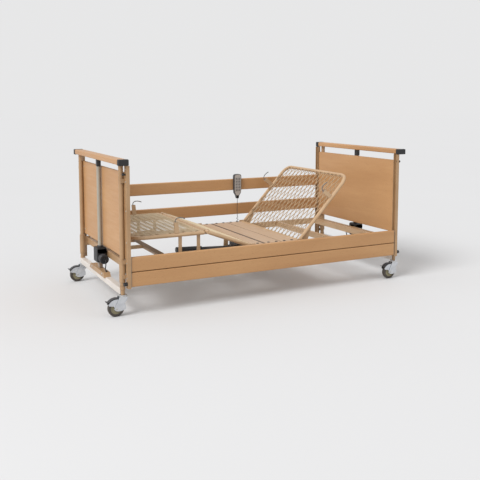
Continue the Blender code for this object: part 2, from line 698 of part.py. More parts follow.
def thigh_rest():
    x = THIGH_HINGE_X
    knee_x = x - THIGH_LENGTH
    hinge = cylinder("hinge", (x, -0.4500, HINGE_Z), (x, 0.4500, HINGE_Z), TUBE_RADIUS)
    knee = cylinder("knee", (knee_x, -0.4270, HINGE_Z), (knee_x, 0.4270, HINGE_Z),
                    TUBE_RADIUS)
    sides = [cylinder("side", (x, side * SECTION_Y, HINGE_Z), (knee_x, side * SECTION_Y, HINGE_Z),
                      TUBE_RADIUS - 0.0002) for side in (-1, 1)]
    lever = slotted_lever(x, -DRIVE_ROD_Y, LEG_LEVER_ANGLE - THIGH_ANGLE)
    frame = join(hinge, [knee, *sides, lever])
    finish(frame, "thigh_frame", "beige_paint", (x, 0.0, HINGE_Z), THIGH_ANGLE)

    clear = TUBE_RADIUS + 0.0006
    z = HINGE_Z + MESH_OFFSET + 0.0035
    panel = box("panel", (knee_x + 0.023, -SECTION_Y + clear, z - MESH_THICKNESS / 2),
                (x - 0.016, SECTION_Y - clear, z + MESH_THICKNESS / 2))
    finish(panel, "thigh_mesh", "wire_paint", (x, 0.0, HINGE_Z), THIGH_ANGLE)


def calf_rest():
    """Level section that hangs on the knee tube by two bearing plates."""
    knee_x = THIGH_HINGE_X - THIGH_LENGTH * math.cos(THIGH_ANGLE)
    knee_z = HINGE_Z + THIGH_LENGTH * math.sin(THIGH_ANGLE)
    start_x = knee_x - 0.034
    end_x = knee_x - CALF_LENGTH
    tube = swept("tube", bent_frame(start_x, end_x, SECTION_Y, CORNER_RADIUS, knee_z),
                 TUBE_RADIUS)
    cross = cylinder("cross", (start_x, -SECTION_Y, knee_z), (start_x, SECTION_Y, knee_z),
                     TUBE_RADIUS - 0.0006)
    tools = [cross]
    holes = []
    stay_x, stay_z = stay_pivot(knee_x, knee_z)
    top = knee_z - 0.0025
    low = knee_z - STIRRUP_DROP
    inner_low_x = STIRRUP_LOW_X + STIRRUP_BAR
    inner_high_x = STIRRUP_HIGH_X - STIRRUP_BAR
    stirrup_outline = [(STIRRUP_LOW_X, top), (STIRRUP_LOW_X, low), (STIRRUP_HIGH_X, low),
                       (STIRRUP_HIGH_X, top), (inner_high_x, top), (inner_high_x, low + 0.012),
                       (inner_low_x, low + 0.012), (inner_low_x, top)]
    for side in (-1, 1):
        edges_y = sorted((side * 0.378, side * 0.385))
        tools.append(box("ear", (start_x - 0.002, edges_y[0], knee_z - EAR_DROP),
                         (knee_x + 0.018, edges_y[1], knee_z + 0.0125)))
        lug_y = sorted((side * 0.330, side * 0.337))
        tools.append(box("lug", (end_x + 0.002, lug_y[0], stay_z - 0.014),
                         (stay_x + 0.014, lug_y[1], knee_z + 0.004)))
        stirrup_y = sorted((side * 0.4050, side * 0.4112))
        tools.append(prism("stirrup", stirrup_outline, "Y", *stirrup_y))
    holes.append(cylinder("hole", (knee_x, -0.400, knee_z), (knee_x, 0.400, knee_z),
                          TUBE_RADIUS + 0.0012, 20))
    holes.append(cylinder("hole", (stay_x, -0.345, stay_z), (stay_x, 0.345, stay_z), 0.0082))
    frame = cut(join(tube, tools), holes)
    origin = (knee_x, 0.0, knee_z)
    finish(frame, "calf_frame", "beige_paint", origin)

    clear = TUBE_RADIUS + 0.0006
    section_mesh("calf_mesh", end_x + clear, start_x - 0.0135, SECTION_Y - clear,
                 CORNER_RADIUS - clear, -1, knee_z + MESH_OFFSET + 0.0035, origin, 0.0)
    for side_name, side in SIDES:
        retainer(f"mattress_retainer_calf_{side_name}", CALF_RETAINER_X, side, knee_z, origin, 0.0)
    calf_stay(stay_x, stay_z)


def stay_pivot(knee_x, knee_z):
    return knee_x - CALF_LENGTH + 0.038, knee_z - 0.0225


def calf_stay(x, z):
    """Swinging stay whose two flat arms prop the calf rest on the frame's brackets."""
    half = STAY_HALF_WIDTH
    angle = math.asin((z - STAY_REST_Z - half - GAP) / STAY_LENGTH)
    outline = arc((0.0, 0.0), half, 90, 270, 8) + arc((STAY_LENGTH, 0.0), half, -90, 90, 8)
    turn = Matrix.Translation((x, 0.0, z)) @ Matrix.Rotation(angle, 4, "Y")
    arms = []
    for side in (-1, 1):
        arm = prism("arm", outline, "Y", side * (STAY_Y - 0.004), side * (STAY_Y + 0.004))
        arm.data.transform(turn)
        arms.append(arm)
    rod = cylinder("rod", (x, -STAY_Y - 0.006, z), (x, STAY_Y + 0.006, z), 0.0070, 12)
    finish(join(rod, arms), "calf_stay", "grey_steel", (x, 0.0, z))


# --------------------------------------------------------------------- drive
def drive_unit():
    """Double motor housing under the seat, bored for its two rods, with the leg motor."""
    housing = box("housing", (DRIVE_LOW_X, -0.085, DRIVE_AXIS_Z - 0.036),
                  (DRIVE_HIGH_X, 0.085, DRIVE_AXIS_Z + 0.036), 0.008)
    motors = [cylinder("motor", (x, 0.0, DRIVE_AXIS_Z - 0.078), (x, 0.0, DRIVE_AXIS_Z - 0.020),
                       0.032, 20) for x in (0.005, 0.085)]
    motor_end = Vector((-0.528, LEG_MOTOR_Y, 0.2800))
    tube_end = Vector((-0.025, LEG_MOTOR_Y + 0.006, 0.2560))
    motor_start = motor_end.lerp(tube_end, 0.370)
    tube_start = motor_end.lerp(tube_end, 0.350)
    motors.append(cylinder("leg_motor", motor_end, motor_start, LEG_MOTOR_RADIUS, 20))
    motors.append(cylinder("leg_motor_tube", tube_start, tube_end, LEG_MOTOR_TUBE_RADIUS))
    housing = join(housing, motors)
    bores = [cylinder("bore", (-0.002, DRIVE_ROD_Y, DRIVE_AXIS_Z),
                      (DRIVE_HIGH_X + 0.010, DRIVE_ROD_Y, DRIVE_AXIS_Z), 0.0110),
             cylinder("bore", (DRIVE_LOW_X - 0.010, -DRIVE_ROD_Y, DRIVE_AXIS_Z),
                      (0.075, -DRIVE_ROD_Y, DRIVE_AXIS_Z), 0.0110)]
    finish(cut(housing, bores), "drive_unit", "black_plastic")


def drive_rod(name, y, pin_x, direction, length):
    """Rod with a fork at its end, and the pin that sits in a lever's slot."""
    z = DRIVE_AXIS_Z
    back = 0.034
    block_edges = sorted((pin_x - direction * back, pin_x - direction * (back + 0.018)))
    block = box("block", (block_edges[0], y - 0.0130, z - 0.0130),
                (block_edges[1], y + 0.0130, z + 0.0130))
    tools = [cylinder("rod", (pin_x - direction * (back + 0.010), y, z),
                      (pin_x - direction * (back + length), y, z), DRIVE_ROD_RADIUS)]
    cheek_edges = sorted((pin_x + direction * 0.011, pin_x - direction * (back + 0.006)))
    for side in (-1, 1):
        edges_y = sorted((y + side * 0.0065, y + side * 0.0125))
        tools.append(box("cheek", (cheek_edges[0], edges_y[0], z - 0.0115),
                         (cheek_edges[1], edges_y[1], z + 0.0115)))
    tools.append(cylinder("pin", (pin_x, y - 0.0105, z), (pin_x, y + 0.0105, z), 0.0040, 12))
    finish(join(block, tools), name, "grey_steel", (pin_x, y, z))


def drive():
    drive_unit()
    back_pin = BACK_HINGE_X + LEVER_RATIO * BACK_LEVER_ANGLE
    leg_pin = THIGH_HINGE_X - LEVER_RATIO * LEG_LEVER_ANGLE
    drive_rod("back_drive_rod", DRIVE_ROD_Y, back_pin, 1, 0.150)
    drive_rod("leg_drive_rod", -DRIVE_ROD_Y, leg_pin, -1, 0.110)


# --------------------------------------------------------------------- handset
def handset():
    """Hand control with a hook at its back that hangs over the upper right rail."""
    half_width = 0.031
    corner = 0.018
    corner_z = HANDSET_HIGH - corner
    right = [(0.006, HANDSET_LOW), (0.010, HANDSET_LOW + 0.020), (0.027, HANDSET_LOW + 0.044),
             (half_width, HANDSET_LOW + 0.078)]
    right += arc((half_width - corner, corner_z), corner, 0, 90, 4)
    left = [(-x, z) for x, z in reversed(right)]
    outline = [(HANDSET_X + x, z) for x, z in right + left]
    body = prism("body", outline, "Y", HANDSET_FRONT_Y, HANDSET_BACK_Y)
    rail_top = RAIL_HIGH_DOWN + RAIL_HIGH_LIFT + RAIL_HEIGHT
    hook_outline = [(HANDSET_BACK_Y - 0.002, rail_top + GAP),
                    (RAIL_OUTER_Y + 0.0006, rail_top + GAP),
                    (RAIL_OUTER_Y + 0.0006, rail_top - 0.025),
                    (RAIL_OUTER_Y + 0.0036, rail_top - 0.025),
                    (RAIL_OUTER_Y + 0.0036, rail_top + 0.0035),
                    (HANDSET_BACK_Y - 0.002, rail_top + 0.0035)]
    hook = prism("hook", hook_outline, "X", HANDSET_X - 0.012, HANDSET_X + 0.012)
    finish(join(body, [hook]), "handset", "grey_plastic",
           (HANDSET_X, HANDSET_BACK_Y, rail_top))


def smooth_line(anchors, steps):
    """Catmull-Rom points through the anchors."""
    points = [Vector(p) for p in anchors]
    padded = [2 * points[0] - points[1], *points, 2 * points[-1] - points[-2]]
    line = []
    for i in range(1, len(padded) - 2):
        a, b, c, d = padded[i - 1:i + 3]
        for k in range(steps):
            t = k / steps
            line.append(0.5 * ((2 * b) + (c - a) * t + (2 * a - 5 * b + 4 * c - d) * t ** 2
                               + (3 * b - a - 3 * c + d) * t ** 3))
    line.append(points[-1])
    return line


def handset_cord():
    """Plain lead below the handset, then the curly part down and up to the frame's gland."""
    lead = [(HANDSET_X, CORD_Y, HANDSET_LOW - GAP), (HANDSET_X, CORD_Y, 0.490),
            (HANDSET_X - 0.001, CORD_Y, 0.450), (HANDSET_X - 0.001, CORD_Y, 0.415),
            (HANDSET_X, CORD_Y, COIL_TOP + GAP)]
    lead_tube = swept("lead", smooth_line(lead, 3), CORD_RADIUS)
    finish(lead_tube, "handset_cord", "cord")
    coil_line = [(HANDSET_X, CORD_Y, COIL_TOP), (HANDSET_X, CORD_Y, 0.330),
                 (HANDSET_X + 0.001, CORD_Y, 0.260), (HANDSET_X + 0.008, CORD_Y - 0.003, 0.212),
                 (HANDSET_X + 0.039, CORD_Y - 0.014, 0.182), (SOCKET_X - 0.010, 0.452, 0.205),
                 (SOCKET_X, 0.449, 0.235), (SOCKET_X, 0.449, 0.2572)]
    coil = swept("coil", smooth_line(coil_line, 3), COIL_RADIUS)
    finish(coil, "handset_cord_coil", "cord")


# -------------------------------------------------------------------- assembly
for old_object in list(bpy.data.objects):
    bpy.data.objects.remove(old_object)

MATERIALS = {name: make_material(name) for name in COLOURS}
BED_MIDDLE = bpy.data.objects.new("bed_middle", None)
bpy.context.scene.collection.objects.link(BED_MIDDLE)
BED_MIDDLE.location = (CENTRE_SHIFT, 0.0, 0.0)

ENDS = (("head", 1), ("foot", -1))
SIDES = (("left", -1), ("right", 1))

for end_name, end_sign in ENDS:
    end_base(end_name, end_sign)
    lift_actuator(end_name, end_sign)
    lift_rod(end_name, end_sign)
    board_frame(end_name, end_sign)
    board_panel(end_name, end_sign)
    board_top_rail(end_name, end_sign)
    for side_name, side_sign in SIDES:
        castor(end_name, side_name, end_sign * COLUMN_X, side_sign * COLUMN_Y)
        top_rail_cap(end_name, end_sign, side_name, side_sign)
        guide_channel(end_name, end_sign, side_name, side_sign)
        release_button(end_name, end_sign, side_name, side_sign)

side_rail("left", -1, "lower", RAIL_LOW_DOWN)
side_rail("left", -1, "upper", RAIL_HIGH_DOWN)
side_rail("right", 1, "lower", RAIL_LOW_DOWN + RAIL_LOW_LIFT)
side_rail("right", 1, "upper", RAIL_HIGH_DOWN + RAIL_HIGH_LIFT)
lying_frame()
seat_slats()
backrest()
thigh_rest()
calf_rest()
drive()
handset()
handset_cord()
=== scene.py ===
"""Looks of the adjustable care bed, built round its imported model.

Metres, +Z up. The drawing below uses the lying frame's own middle as X = 0, and PLACE
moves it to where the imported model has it.
"""
import math

import bmesh
import bpy
from mathutils import Matrix, Vector


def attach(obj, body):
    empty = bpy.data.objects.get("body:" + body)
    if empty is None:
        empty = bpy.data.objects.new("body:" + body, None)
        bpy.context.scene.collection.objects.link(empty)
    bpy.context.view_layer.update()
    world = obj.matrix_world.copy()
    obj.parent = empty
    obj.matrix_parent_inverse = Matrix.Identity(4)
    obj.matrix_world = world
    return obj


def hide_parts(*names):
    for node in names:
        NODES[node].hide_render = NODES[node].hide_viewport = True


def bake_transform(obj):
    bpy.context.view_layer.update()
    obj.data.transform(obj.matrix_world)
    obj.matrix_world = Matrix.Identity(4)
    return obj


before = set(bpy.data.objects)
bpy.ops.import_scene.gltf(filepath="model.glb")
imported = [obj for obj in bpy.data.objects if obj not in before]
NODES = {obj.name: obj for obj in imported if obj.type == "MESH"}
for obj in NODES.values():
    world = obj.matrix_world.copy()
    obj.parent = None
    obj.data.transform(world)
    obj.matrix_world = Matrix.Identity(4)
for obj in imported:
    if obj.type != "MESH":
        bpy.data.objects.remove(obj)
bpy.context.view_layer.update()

# ---------------------------------------------------------------- dimensions
PLACE = Matrix.Translation((0.0355, 0.0, 0.0))
ENDS = (("head", 1), ("foot", -1))
SIDES = (("left", -1), ("right", 1))
# Hinged sections of the lying surface.
BACK_HINGE = Vector((0.243, 0.0, 0.333))
BACK_ANGLE = math.radians(47.0)
BACK_LENGTH = 0.590
THIGH_HINGE = Vector((-0.130, 0.0, 0.333))
THIGH_ANGLE = math.radians(21.0)
THIGH_LENGTH = 0.330
CALF_LENGTH = 0.502
KNEE = THIGH_HINGE + Vector((-THIGH_LENGTH * math.cos(THIGH_ANGLE), 0.0,
                             THIGH_LENGTH * math.sin(THIGH_ANGLE)))
TUBE_RADIUS = 0.0125
SECTION_Y = 0.420
CORNER_RADIUS = 0.070
RETAINER_STEM = 0.070
HOOK_HEIGHT = 0.014
# End boards, with their columns and rail channels.
COLUMN_X = 1.030
COLUMN_Y = 0.4725
COLUMN_LOW = 0.205
SLEEVE_TOP = 0.332
PANEL_INNER_X = 0.9989
PANEL_OUTER_X = 1.0149
PANEL_HALF_Y = 0.487
PANEL_LOW = 0.348
PANEL_HIGH = 0.869
CHANNEL_OUTER_X = 1.0138
CHANNEL_Y = 0.511
RELEASE_TOP = 0.215
# Base frames and lifts.
CROSSBAR_TOP = 0.170
CROSSBAR_HALF_Y = 0.470
BRACKET_TOP = 0.196
BRACKET_OUTER_X = 1.0580
LIFT_AXIS_X = 1.033
LIFT_HOUSING_LOW = 0.238
LIFT_HOUSING_HIGH = 0.335
LIFT_MOTOR_Z = LIFT_HOUSING_LOW + 0.030
LIFT_MOTOR_END_Y = 0.1175
LIFT_COVER_X = 0.0346
# Side rails; the right pair is lifted.
RAIL_HALF_LENGTH = 0.9915
RAIL_INNER_Y = 0.4960
RAIL_OUTER_Y = 0.5250
RAIL_HEIGHT = 0.088
RAIL_LOW_DOWN = 0.180
RAIL_HIGH_DOWN = 0.272
RAIL_LOW_LIFT = 0.212
RAIL_HIGH_LIFT = 0.316
# Lying frame and the drive under the seat.
FRAME_HALF_X = 0.958
FRAME_JOINT_X = 0.059
FRAME_BOLT_Y = 0.4620
HINGE_BOLT_Y = 0.4430
SLAT_LOW = 0.3352
SLAT_TOP = 0.3450
SLAT_HALF_Y = 0.428
LEVER_Y = 0.045
DRIVE_AXIS_Z = 0.258
DRIVE_HALF_Y = 0.0851
LEG_MOTOR_LOW_X = -0.340
LEG_MOTOR_HIGH_X = -0.048
# Castors.
WHEEL_RADIUS = 0.050
CASTOR_TRAIL = 0.045
HOOD_RADIUS = 0.0575
HOOD_OUTER_RADIUS = 0.0588
HOOD_INNER_Y = 0.0168
HOOD_OUTER_Y = 0.0179
PEDAL_RADIUS = 0.0640
# Small fittings.
CABLE_RADIUS = 0.0035


def turned(pivot, angle):
    """Place of a section that is drawn flat and turned about its hinge."""
    return (PLACE @ Matrix.Translation(pivot) @ Matrix.Rotation(angle, 4, "Y")
            @ Matrix.Translation(-pivot))


BACK_PLACE = turned(BACK_HINGE, -BACK_ANGLE)
THIGH_PLACE = turned(THIGH_HINGE, THIGH_ANGLE)


# ------------------------------------------------------------------ materials
class Shader:
    """A Principled material with a few helpers for its node graph."""

    def __init__(self, name, roughness=0.5, metallic=0.0, coat=0.0, coat_roughness=0.2):
        self.material = bpy.data.materials.new(name)
        self.material.use_nodes = True
        self.tree = self.material.node_tree
        self.main = self.tree.nodes["Principled BSDF"]
        self.main.inputs["Roughness"].default_value = roughness
        self.main.inputs["Metallic"].default_value = metallic
        self.main.inputs["Coat Weight"].default_value = coat
        self.main.inputs["Coat Roughness"].default_value = coat_roughness
        self.place = self.tree.nodes.new("ShaderNodeTexCoord").outputs["Object"]

    def link(self, source, target):
        self.tree.links.new(source, target)

    def stretched(self, scale):
        node = self.tree.nodes.new("ShaderNodeMapping")
        node.inputs["Scale"].default_value = scale
        self.link(self.place, node.inputs["Vector"])
        return node.outputs["Vector"]

    def noise(self, scale, detail=4.0, rough=0.55, place=None, distortion=0.0):
        node = self.tree.nodes.new("ShaderNodeTexNoise")
        node.inputs["Scale"].default_value = scale
        node.inputs["Detail"].default_value = detail
        node.inputs["Roughness"].default_value = rough
        node.inputs["Distortion"].default_value = distortion
        self.link(place or self.place, node.inputs["Vector"])
        return node.outputs["Fac"]

    def cells(self, scale, place=None):
        node = self.tree.nodes.new("ShaderNodeTexVoronoi")
        node.inputs["Scale"].default_value = scale
        self.link(place or self.place, node.inputs["Vector"])
        return node.outputs["Distance"]

    def span(self, value, from_low, from_high, low, high):
        node = self.tree.nodes.new("ShaderNodeMapRange")
        node.inputs["From Min"].default_value = from_low
        node.inputs["From Max"].default_value = from_high
        node.inputs["To Min"].default_value = low
        node.inputs["To Max"].default_value = high
        self.link(value, node.inputs["Value"])
        return node.outputs["Result"]

    def mix(self, factor, first, second, kind="MIX"):
        node = self.tree.nodes.new("ShaderNodeMix")
        node.data_type = "RGBA"
        node.blend_type = kind
        self.fill(node.inputs[0], factor)
        self.fill(node.inputs[6], first)
        self.fill(node.inputs[7], second)
        return node.outputs[2]

    def fill(self, socket, value):
        if isinstance(value, bpy.types.NodeSocket):
            self.link(value, socket)
        elif isinstance(value, tuple):
            socket.default_value = (*value, 1.0)
        else:
            socket.default_value = value

    def colour(self, value):
        self.fill(self.main.inputs["Base Color"], value)

    def roughness(self, value):
        self.fill(self.main.inputs["Roughness"], value)

    def bump(self, height, strength, distance):
        node = self.tree.nodes.new("ShaderNodeBump")
        node.inputs["Strength"].default_value = strength
        node.inputs["Distance"].default_value = distance
        self.link(height, node.inputs["Height"])
        self.link(node.outputs["Normal"], self.main.inputs["Normal"])


def srgb(red, green, blue):
    """Linear colour of an sRGB colour given in 0..255."""
    def linear(value):
        value /= 255.0
        return value / 12.92 if value <= 0.04045 else ((value + 0.055) / 1.055) ** 2.4
    return (linear(red), linear(green), linear(blue))


def wood(name, along, light, dark, fleck):
    """Beech decor: broad soft figure, fine grain and short dark flecks along one axis."""
    shader = Shader(name, roughness=0.50, coat=0.06, coat_roughness=0.4)
    shader.main.inputs["Specular IOR Level"].default_value = 0.35
    broad = [5.0, 5.0, 5.0]
    fine = [60.0, 60.0, 60.0]
    short = [420.0, 420.0, 420.0]
    broad[along] = 0.9
    fine[along] = 4.0
    short[along] = 70.0
    figure = shader.noise(1.0, 3.0, 0.5, shader.stretched(broad), 0.6)
    grain = shader.noise(1.0, 6.0, 0.65, shader.stretched(fine), 0.2)
    flecks = shader.noise(1.0, 2.0, 0.5, shader.stretched(short))
    base = shader.mix(shader.span(figure, 0.3, 0.7, 0.0, 1.0), light, dark)
    lined = shader.mix(shader.span(grain, 0.35, 0.75, 0.0, 0.45), base, dark)
    marked = shader.mix(shader.span(flecks, 0.63, 0.72, 0.0, 0.55), lined, fleck)
    shader.colour(marked)
    shader.roughness(shader.span(grain, 0.3, 0.7, 0.36, 0.50))
    shader.bump(grain, 0.10, 0.0004)
    return shader.material


def paint(name, light, dark, roughness=0.42, metallic=0.0):
    """Powder coat: fine orange peel, faint clouding and a few dull rubbed patches."""
    shader = Shader(name, roughness=roughness, metallic=metallic, coat=0.1, coat_roughness=0.3)
    cloud = shader.noise(9.0, 3.0, 0.6)
    peel = shader.noise(900.0, 2.0, 0.5)
    rubbed = shader.noise(38.0, 5.0, 0.7)
    base = shader.mix(shader.span(cloud, 0.3, 0.7, 0.0, 1.0), light, dark)
    worn = shader.mix(shader.span(rubbed, 0.62, 0.75, 0.0, 0.35), base, dark)
    shader.colour(worn)
    shader.roughness(shader.span(rubbed, 0.3, 0.7, roughness - 0.07, roughness + 0.09))
    shader.bump(peel, 0.18, 0.0003)
    return shader.material


def plastic(name, light, dark, roughness=0.5, grain=1800.0, strength=0.25):
    """Moulded plastic with a spark-eroded grain."""
    shader = Shader(name, roughness=roughness)
    cloud = shader.noise(22.0, 3.0, 0.6)
    pits = shader.cells(grain)
    scuffs = shader.noise(160.0, 6.0, 0.75)
    shader.colour(shader.mix(shader.span(cloud, 0.3, 0.7, 0.0, 1.0), light, dark))
    shader.roughness(shader.span(scuffs, 0.3, 0.7, roughness - 0.08, roughness + 0.10))
    shader.bump(pits, strength, 0.0002)
    return shader.material


def metal(name, light, dark, roughness, metallic=1.0, brushed=(30.0, 30.0, 30.0)):
    """Plated or bright metal with fine drawing marks and smudges."""
    shader = Shader(name, roughness=roughness, metallic=metallic)
    marks = shader.noise(12.0, 4.0, 0.6, shader.stretched(brushed))
    smudge = shader.noise(45.0, 5.0, 0.65)
    shader.colour(shader.mix(shader.span(smudge, 0.3, 0.75, 0.0, 1.0), light, dark))
    shader.roughness(shader.span(smudge, 0.3, 0.7, max(0.04, roughness - 0.05),
                                 roughness + 0.10))
    shader.bump(marks, 0.05, 0.0002)
    return shader.material


WOOD_LIGHT = srgb(190, 147, 102)
WOOD_DARK = srgb(174, 130, 87)
WOOD_FLECK = srgb(142, 99, 60)
MATERIALS = {
    "wood_x": wood("beech_along_rail", 0, WOOD_LIGHT, WOOD_DARK, WOOD_FLECK),
    "wood_y": wood("beech_across_bed", 1, WOOD_LIGHT, WOOD_DARK, WOOD_FLECK),
    "slats": wood("slat_board", 1, srgb(192, 164, 136), srgb(178, 149, 121),
                  srgb(150, 118, 90)),
    "paint": paint("beige_powder_coat", srgb(171, 138, 102), srgb(157, 124, 89)),
    "tube_paint": paint("light_beige_powder_coat", srgb(190, 159, 124), srgb(176, 145, 110)),
    # Cream for the base crossbars: a painted reflection of the pale floor on what is the same
    # beige paint as the rest of the base.
    "pale": paint("cream_painted_floor_reflection", srgb(214, 207, 200), srgb(203, 195, 187)),
    "wire": paint("beige_coated_wire", srgb(186, 158, 124), srgb(172, 144, 110), 0.38),
    "pale_wire": paint("pale_coated_wire", srgb(216, 198, 166), srgb(203, 184, 152), 0.38),
    "black": plastic("black_moulding", (0.016, 0.016, 0.017), (0.010, 0.010, 0.011), 0.46),
    "dark_grey": plastic("dark_grey_moulding", srgb(66, 64, 66), srgb(54, 53, 55), 0.5),
    "keypad": plastic("sealed_keypad", srgb(176, 170, 164), srgb(164, 158, 152), 0.42),
    "key": plastic("soft_key", srgb(128, 124, 122), srgb(116, 112, 110), 0.55),
    "lift_tube": paint("grey_lift_tube", srgb(170, 165, 152), srgb(156, 151, 138), 0.36, 0.2),
    "steel": metal("grey_steel", srgb(176, 178, 180), srgb(150, 152, 156), 0.42, 0.45),
    "hook": plastic("grey_coated_wire", srgb(112, 110, 108), srgb(96, 95, 93), 0.4),
    "chrome": metal("bright_chrome", (0.70, 0.72, 0.75), (0.54, 0.56, 0.59), 0.12),
    "zinc": metal("zinc_screw", (0.62, 0.62, 0.60), (0.50, 0.50, 0.49), 0.30),
    "tyre": plastic("tyre_rubber", srgb(72, 65, 58), srgb(58, 52, 47), 0.62, 900.0, 0.2),
    "hub": plastic("hub_plastic", srgb(138, 131, 104), srgb(122, 115, 90), 0.5),
    "cord": plastic("cord_sheath", (0.050, 0.050, 0.055), (0.038, 0.038, 0.042), 0.5, 2600.0),
    "cable": plastic("cable_sheath", (0.020, 0.020, 0.022), (0.014, 0.014, 0.015), 0.5, 2600.0),
    # Dark brown for the strips in the slat gaps: painted shade.
    "dark_brown": paint("painted_gap_shade", srgb(74, 52, 36), srgb(62, 43, 30)),
    "stay": paint("grey_brown_paint", srgb(150, 132, 114), srgb(136, 118, 101)),
}


# -------------------------------------------------------------- shape helpers
def skin(bm, rings):
    """Join rings of vertices one after another and close both ends."""
    sides = len(rings[0])
    for ring, following in zip(rings, rings[1:]):
        for k in range(sides):
            j = (k + 1) % sides
            bm.faces.new((ring[k], ring[j], following[j], following[k]))
    bm.faces.new(rings[0][::-1])
    bm.faces.new(rings[-1])


def block(bm, low, high, bevel=0.0):
    """Box from its lowest to its highest corner.

    Along an axis where the first corner is the higher one the box comes out flat, at the
    second corner.
    """
    high = Vector(high)
    low = Vector([min(a, b) for a, b in zip(low, high)])
    place = Matrix.Translation((low + high) / 2) @ Matrix.Diagonal((*(high - low), 1.0))
    made = bmesh.ops.create_cube(bm, size=1.0, matrix=place)
    if bevel:
        edges = {edge for vert in made["verts"] for edge in vert.link_edges}
        bmesh.ops.bevel(bm, geom=list(edges), offset=bevel, segments=2, profile=0.5,
                        affect="EDGES")


def lathe(bm, profile, start, axis, sides=32):
    """Turn an open profile of (radius, along) points round an axis that leaves start."""
    turn = Vector(axis).normalized().to_track_quat("Z", "Y").to_matrix()
    rings = []
    for radius, along in profile:
        ring = []
        for k in range(sides):
            angle = 2 * math.pi * k / sides
            local = Vector((radius * math.cos(angle), radius * math.sin(angle), along))
            ring.append(bm.verts.new(Vector(start) + turn @ local))
        rings.append(ring)
    skin(bm, rings)


def hoop(bm, profile, centre, sides):
    """Turn a closed profile of (radius, along) points round a Y axis through a centre."""
    rings = []
    for k in range(sides):
        angle = 2 * math.pi * k / sides
        out = Vector((math.cos(angle), 0.0, math.sin(angle)))
        rings.append([bm.verts.new(centre + out * radius + Vector((0.0, along, 0.0)))
                      for radius, along in profile])
    count = len(profile)
    for k in range(sides):
        here = rings[k]
        ahead = rings[(k + 1) % sides]
        for i in range(count):
            j = (i + 1) % count
            bm.faces.new((here[i], ahead[i], ahead[j], here[j]))


def rod(bm, start, end, radius, sides=24, edge=0.0008):
    """Round bar with slightly broken edges."""
    axis = Vector(end) - Vector(start)
    length = axis.length
    edge = min(edge, radius * 0.5, length * 0.3)
    profile = [(radius - edge, 0.0), (radius, edge), (radius, length - edge),
               (radius - edge, length)]
    lathe(bm, profile, start, axis, sides)


def tube(bm, points, radius, sides=12):
    """Round bar along a line of points, carried along without twisting."""
    normal = None
    rings = []
    for i, point in enumerate(points):
        ahead = points[min(i + 1, len(points) - 1)] - point
        behind = point - points[max(i - 1, 0)]
        tangent = (ahead.normalized() + behind.normalized()).normalized()
        if normal is None:
            side = Vector((0, 0, 1)) if abs(tangent.z) < 0.9 else Vector((0, 1, 0))
            normal = tangent.cross(side).normalized()
        normal = (normal - tangent * normal.dot(tangent)).normalized()
        other = tangent.cross(normal)
        ring = []
        for k in range(sides):
            angle = 2 * math.pi * k / sides
            out = normal * math.cos(angle) + other * math.sin(angle)
            ring.append(bm.verts.new(point + out * radius))
        rings.append(ring)
    skin(bm, rings)


def plate(bm, outline, axis, start, end, bevel=0.0):
    """Extrude an outline whose two coordinates are the other two axes in order."""
    def place(point, along):
        coordinates = list(point)
        coordinates.insert("XYZ".index(axis), along)
        return coordinates
    first = [bm.verts.new(place(point, start)) for point in outline]
    second = [bm.verts.new(place(point, end)) for point in outline]
    bm.faces.new(first)
    bm.faces.new(second)
    count = len(outline)
    for i in range(count):
        j = (i + 1) % count
        bm.faces.new((first[i], first[j], second[j], second[i]))
    if bevel:
        rims = [bm.edges.get((ring[i], ring[(i + 1) % count]))
                for ring in (first, second) for i in range(count)]
        bmesh.ops.bevel(bm, geom=rims, offset=bevel, segments=2, profile=0.5, affect="EDGES")


def arc(centre, radius, start, end, steps):
    """Points along a circle from one angle to another, in degrees."""
    points = []
    for k in range(steps + 1):
        angle = math.radians(start + (end - start) * k / steps)
        points.append((centre[0] + radius * math.cos(angle),
                       centre[1] + radius * math.sin(angle)))
    return points


def smooth_line(anchors, steps):
    """Catmull-Rom points through the anchors."""
    points = [Vector(p) for p in anchors]
    padded = [2 * points[0] - points[1], *points, 2 * points[-1] - points[-2]]
    line = []
    for i in range(1, len(padded) - 2):
        a, b, c, d = padded[i - 1:i + 3]
        for k in range(steps):
            t = k / steps
            line.append(0.5 * ((2 * b) + (c - a) * t + (2 * a - 5 * b + 4 * c - d) * t ** 2
                               + (3 * b - a - 3 * c + d) * t ** 3))
    line.append(points[-1])
    return line


def add_to_scene(name, data):
    obj = bpy.data.objects.new(name, data)
    bpy.context.scene.collection.objects.link(obj)
    return obj


def piece(name, bm, material, body, replaces=(), place=PLACE, angle=38):
    """Turn what has been drawn into an object that rides on a body, if one is named."""
    bmesh.ops.recalc_face_normals(bm, faces=bm.faces)
    mesh = bpy.data.meshes.new(name)
    bm.to_mesh(mesh)
    bm.free()
    mesh.transform(place)
    mesh.shade_smooth()
    mesh.set_sharp_from_angle(angle=math.radians(angle))
    obj = add_to_scene(name, mesh)
    mesh.materials.append(MATERIALS[material])
    if body:
        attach(obj, body)
    if replaces:
        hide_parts(*replaces)
    return obj


# -------------------------------------------------------- camera and lighting
CAMERA_PLACE = (-2.2353, -4.4813, 1.2780)
CAMERA_YAW = math.radians(63.094)
CAMERA_PITCH = math.radians(6.0)
CAMERA_LENS = 52.59
CAMERA_SHIFT_Y = -0.1317
ROOM_TINT = (1.0, 1.0, 1.005)
ROOM_LIGHT = 0.80
SUN_DIRECTION = (-0.68, -0.24, 0.69)
SUN_STRENGTH = 2.1
SUN_SPREAD = 28.0
FLOOR_RADIUS = 60.0


def aim(obj, direction):
    """Point a camera or a light along a direction."""
    obj.rotation_mode = "QUATERNION"
    obj.rotation_quaternion = Vector(direction).to_track_quat("-Z", "Y")


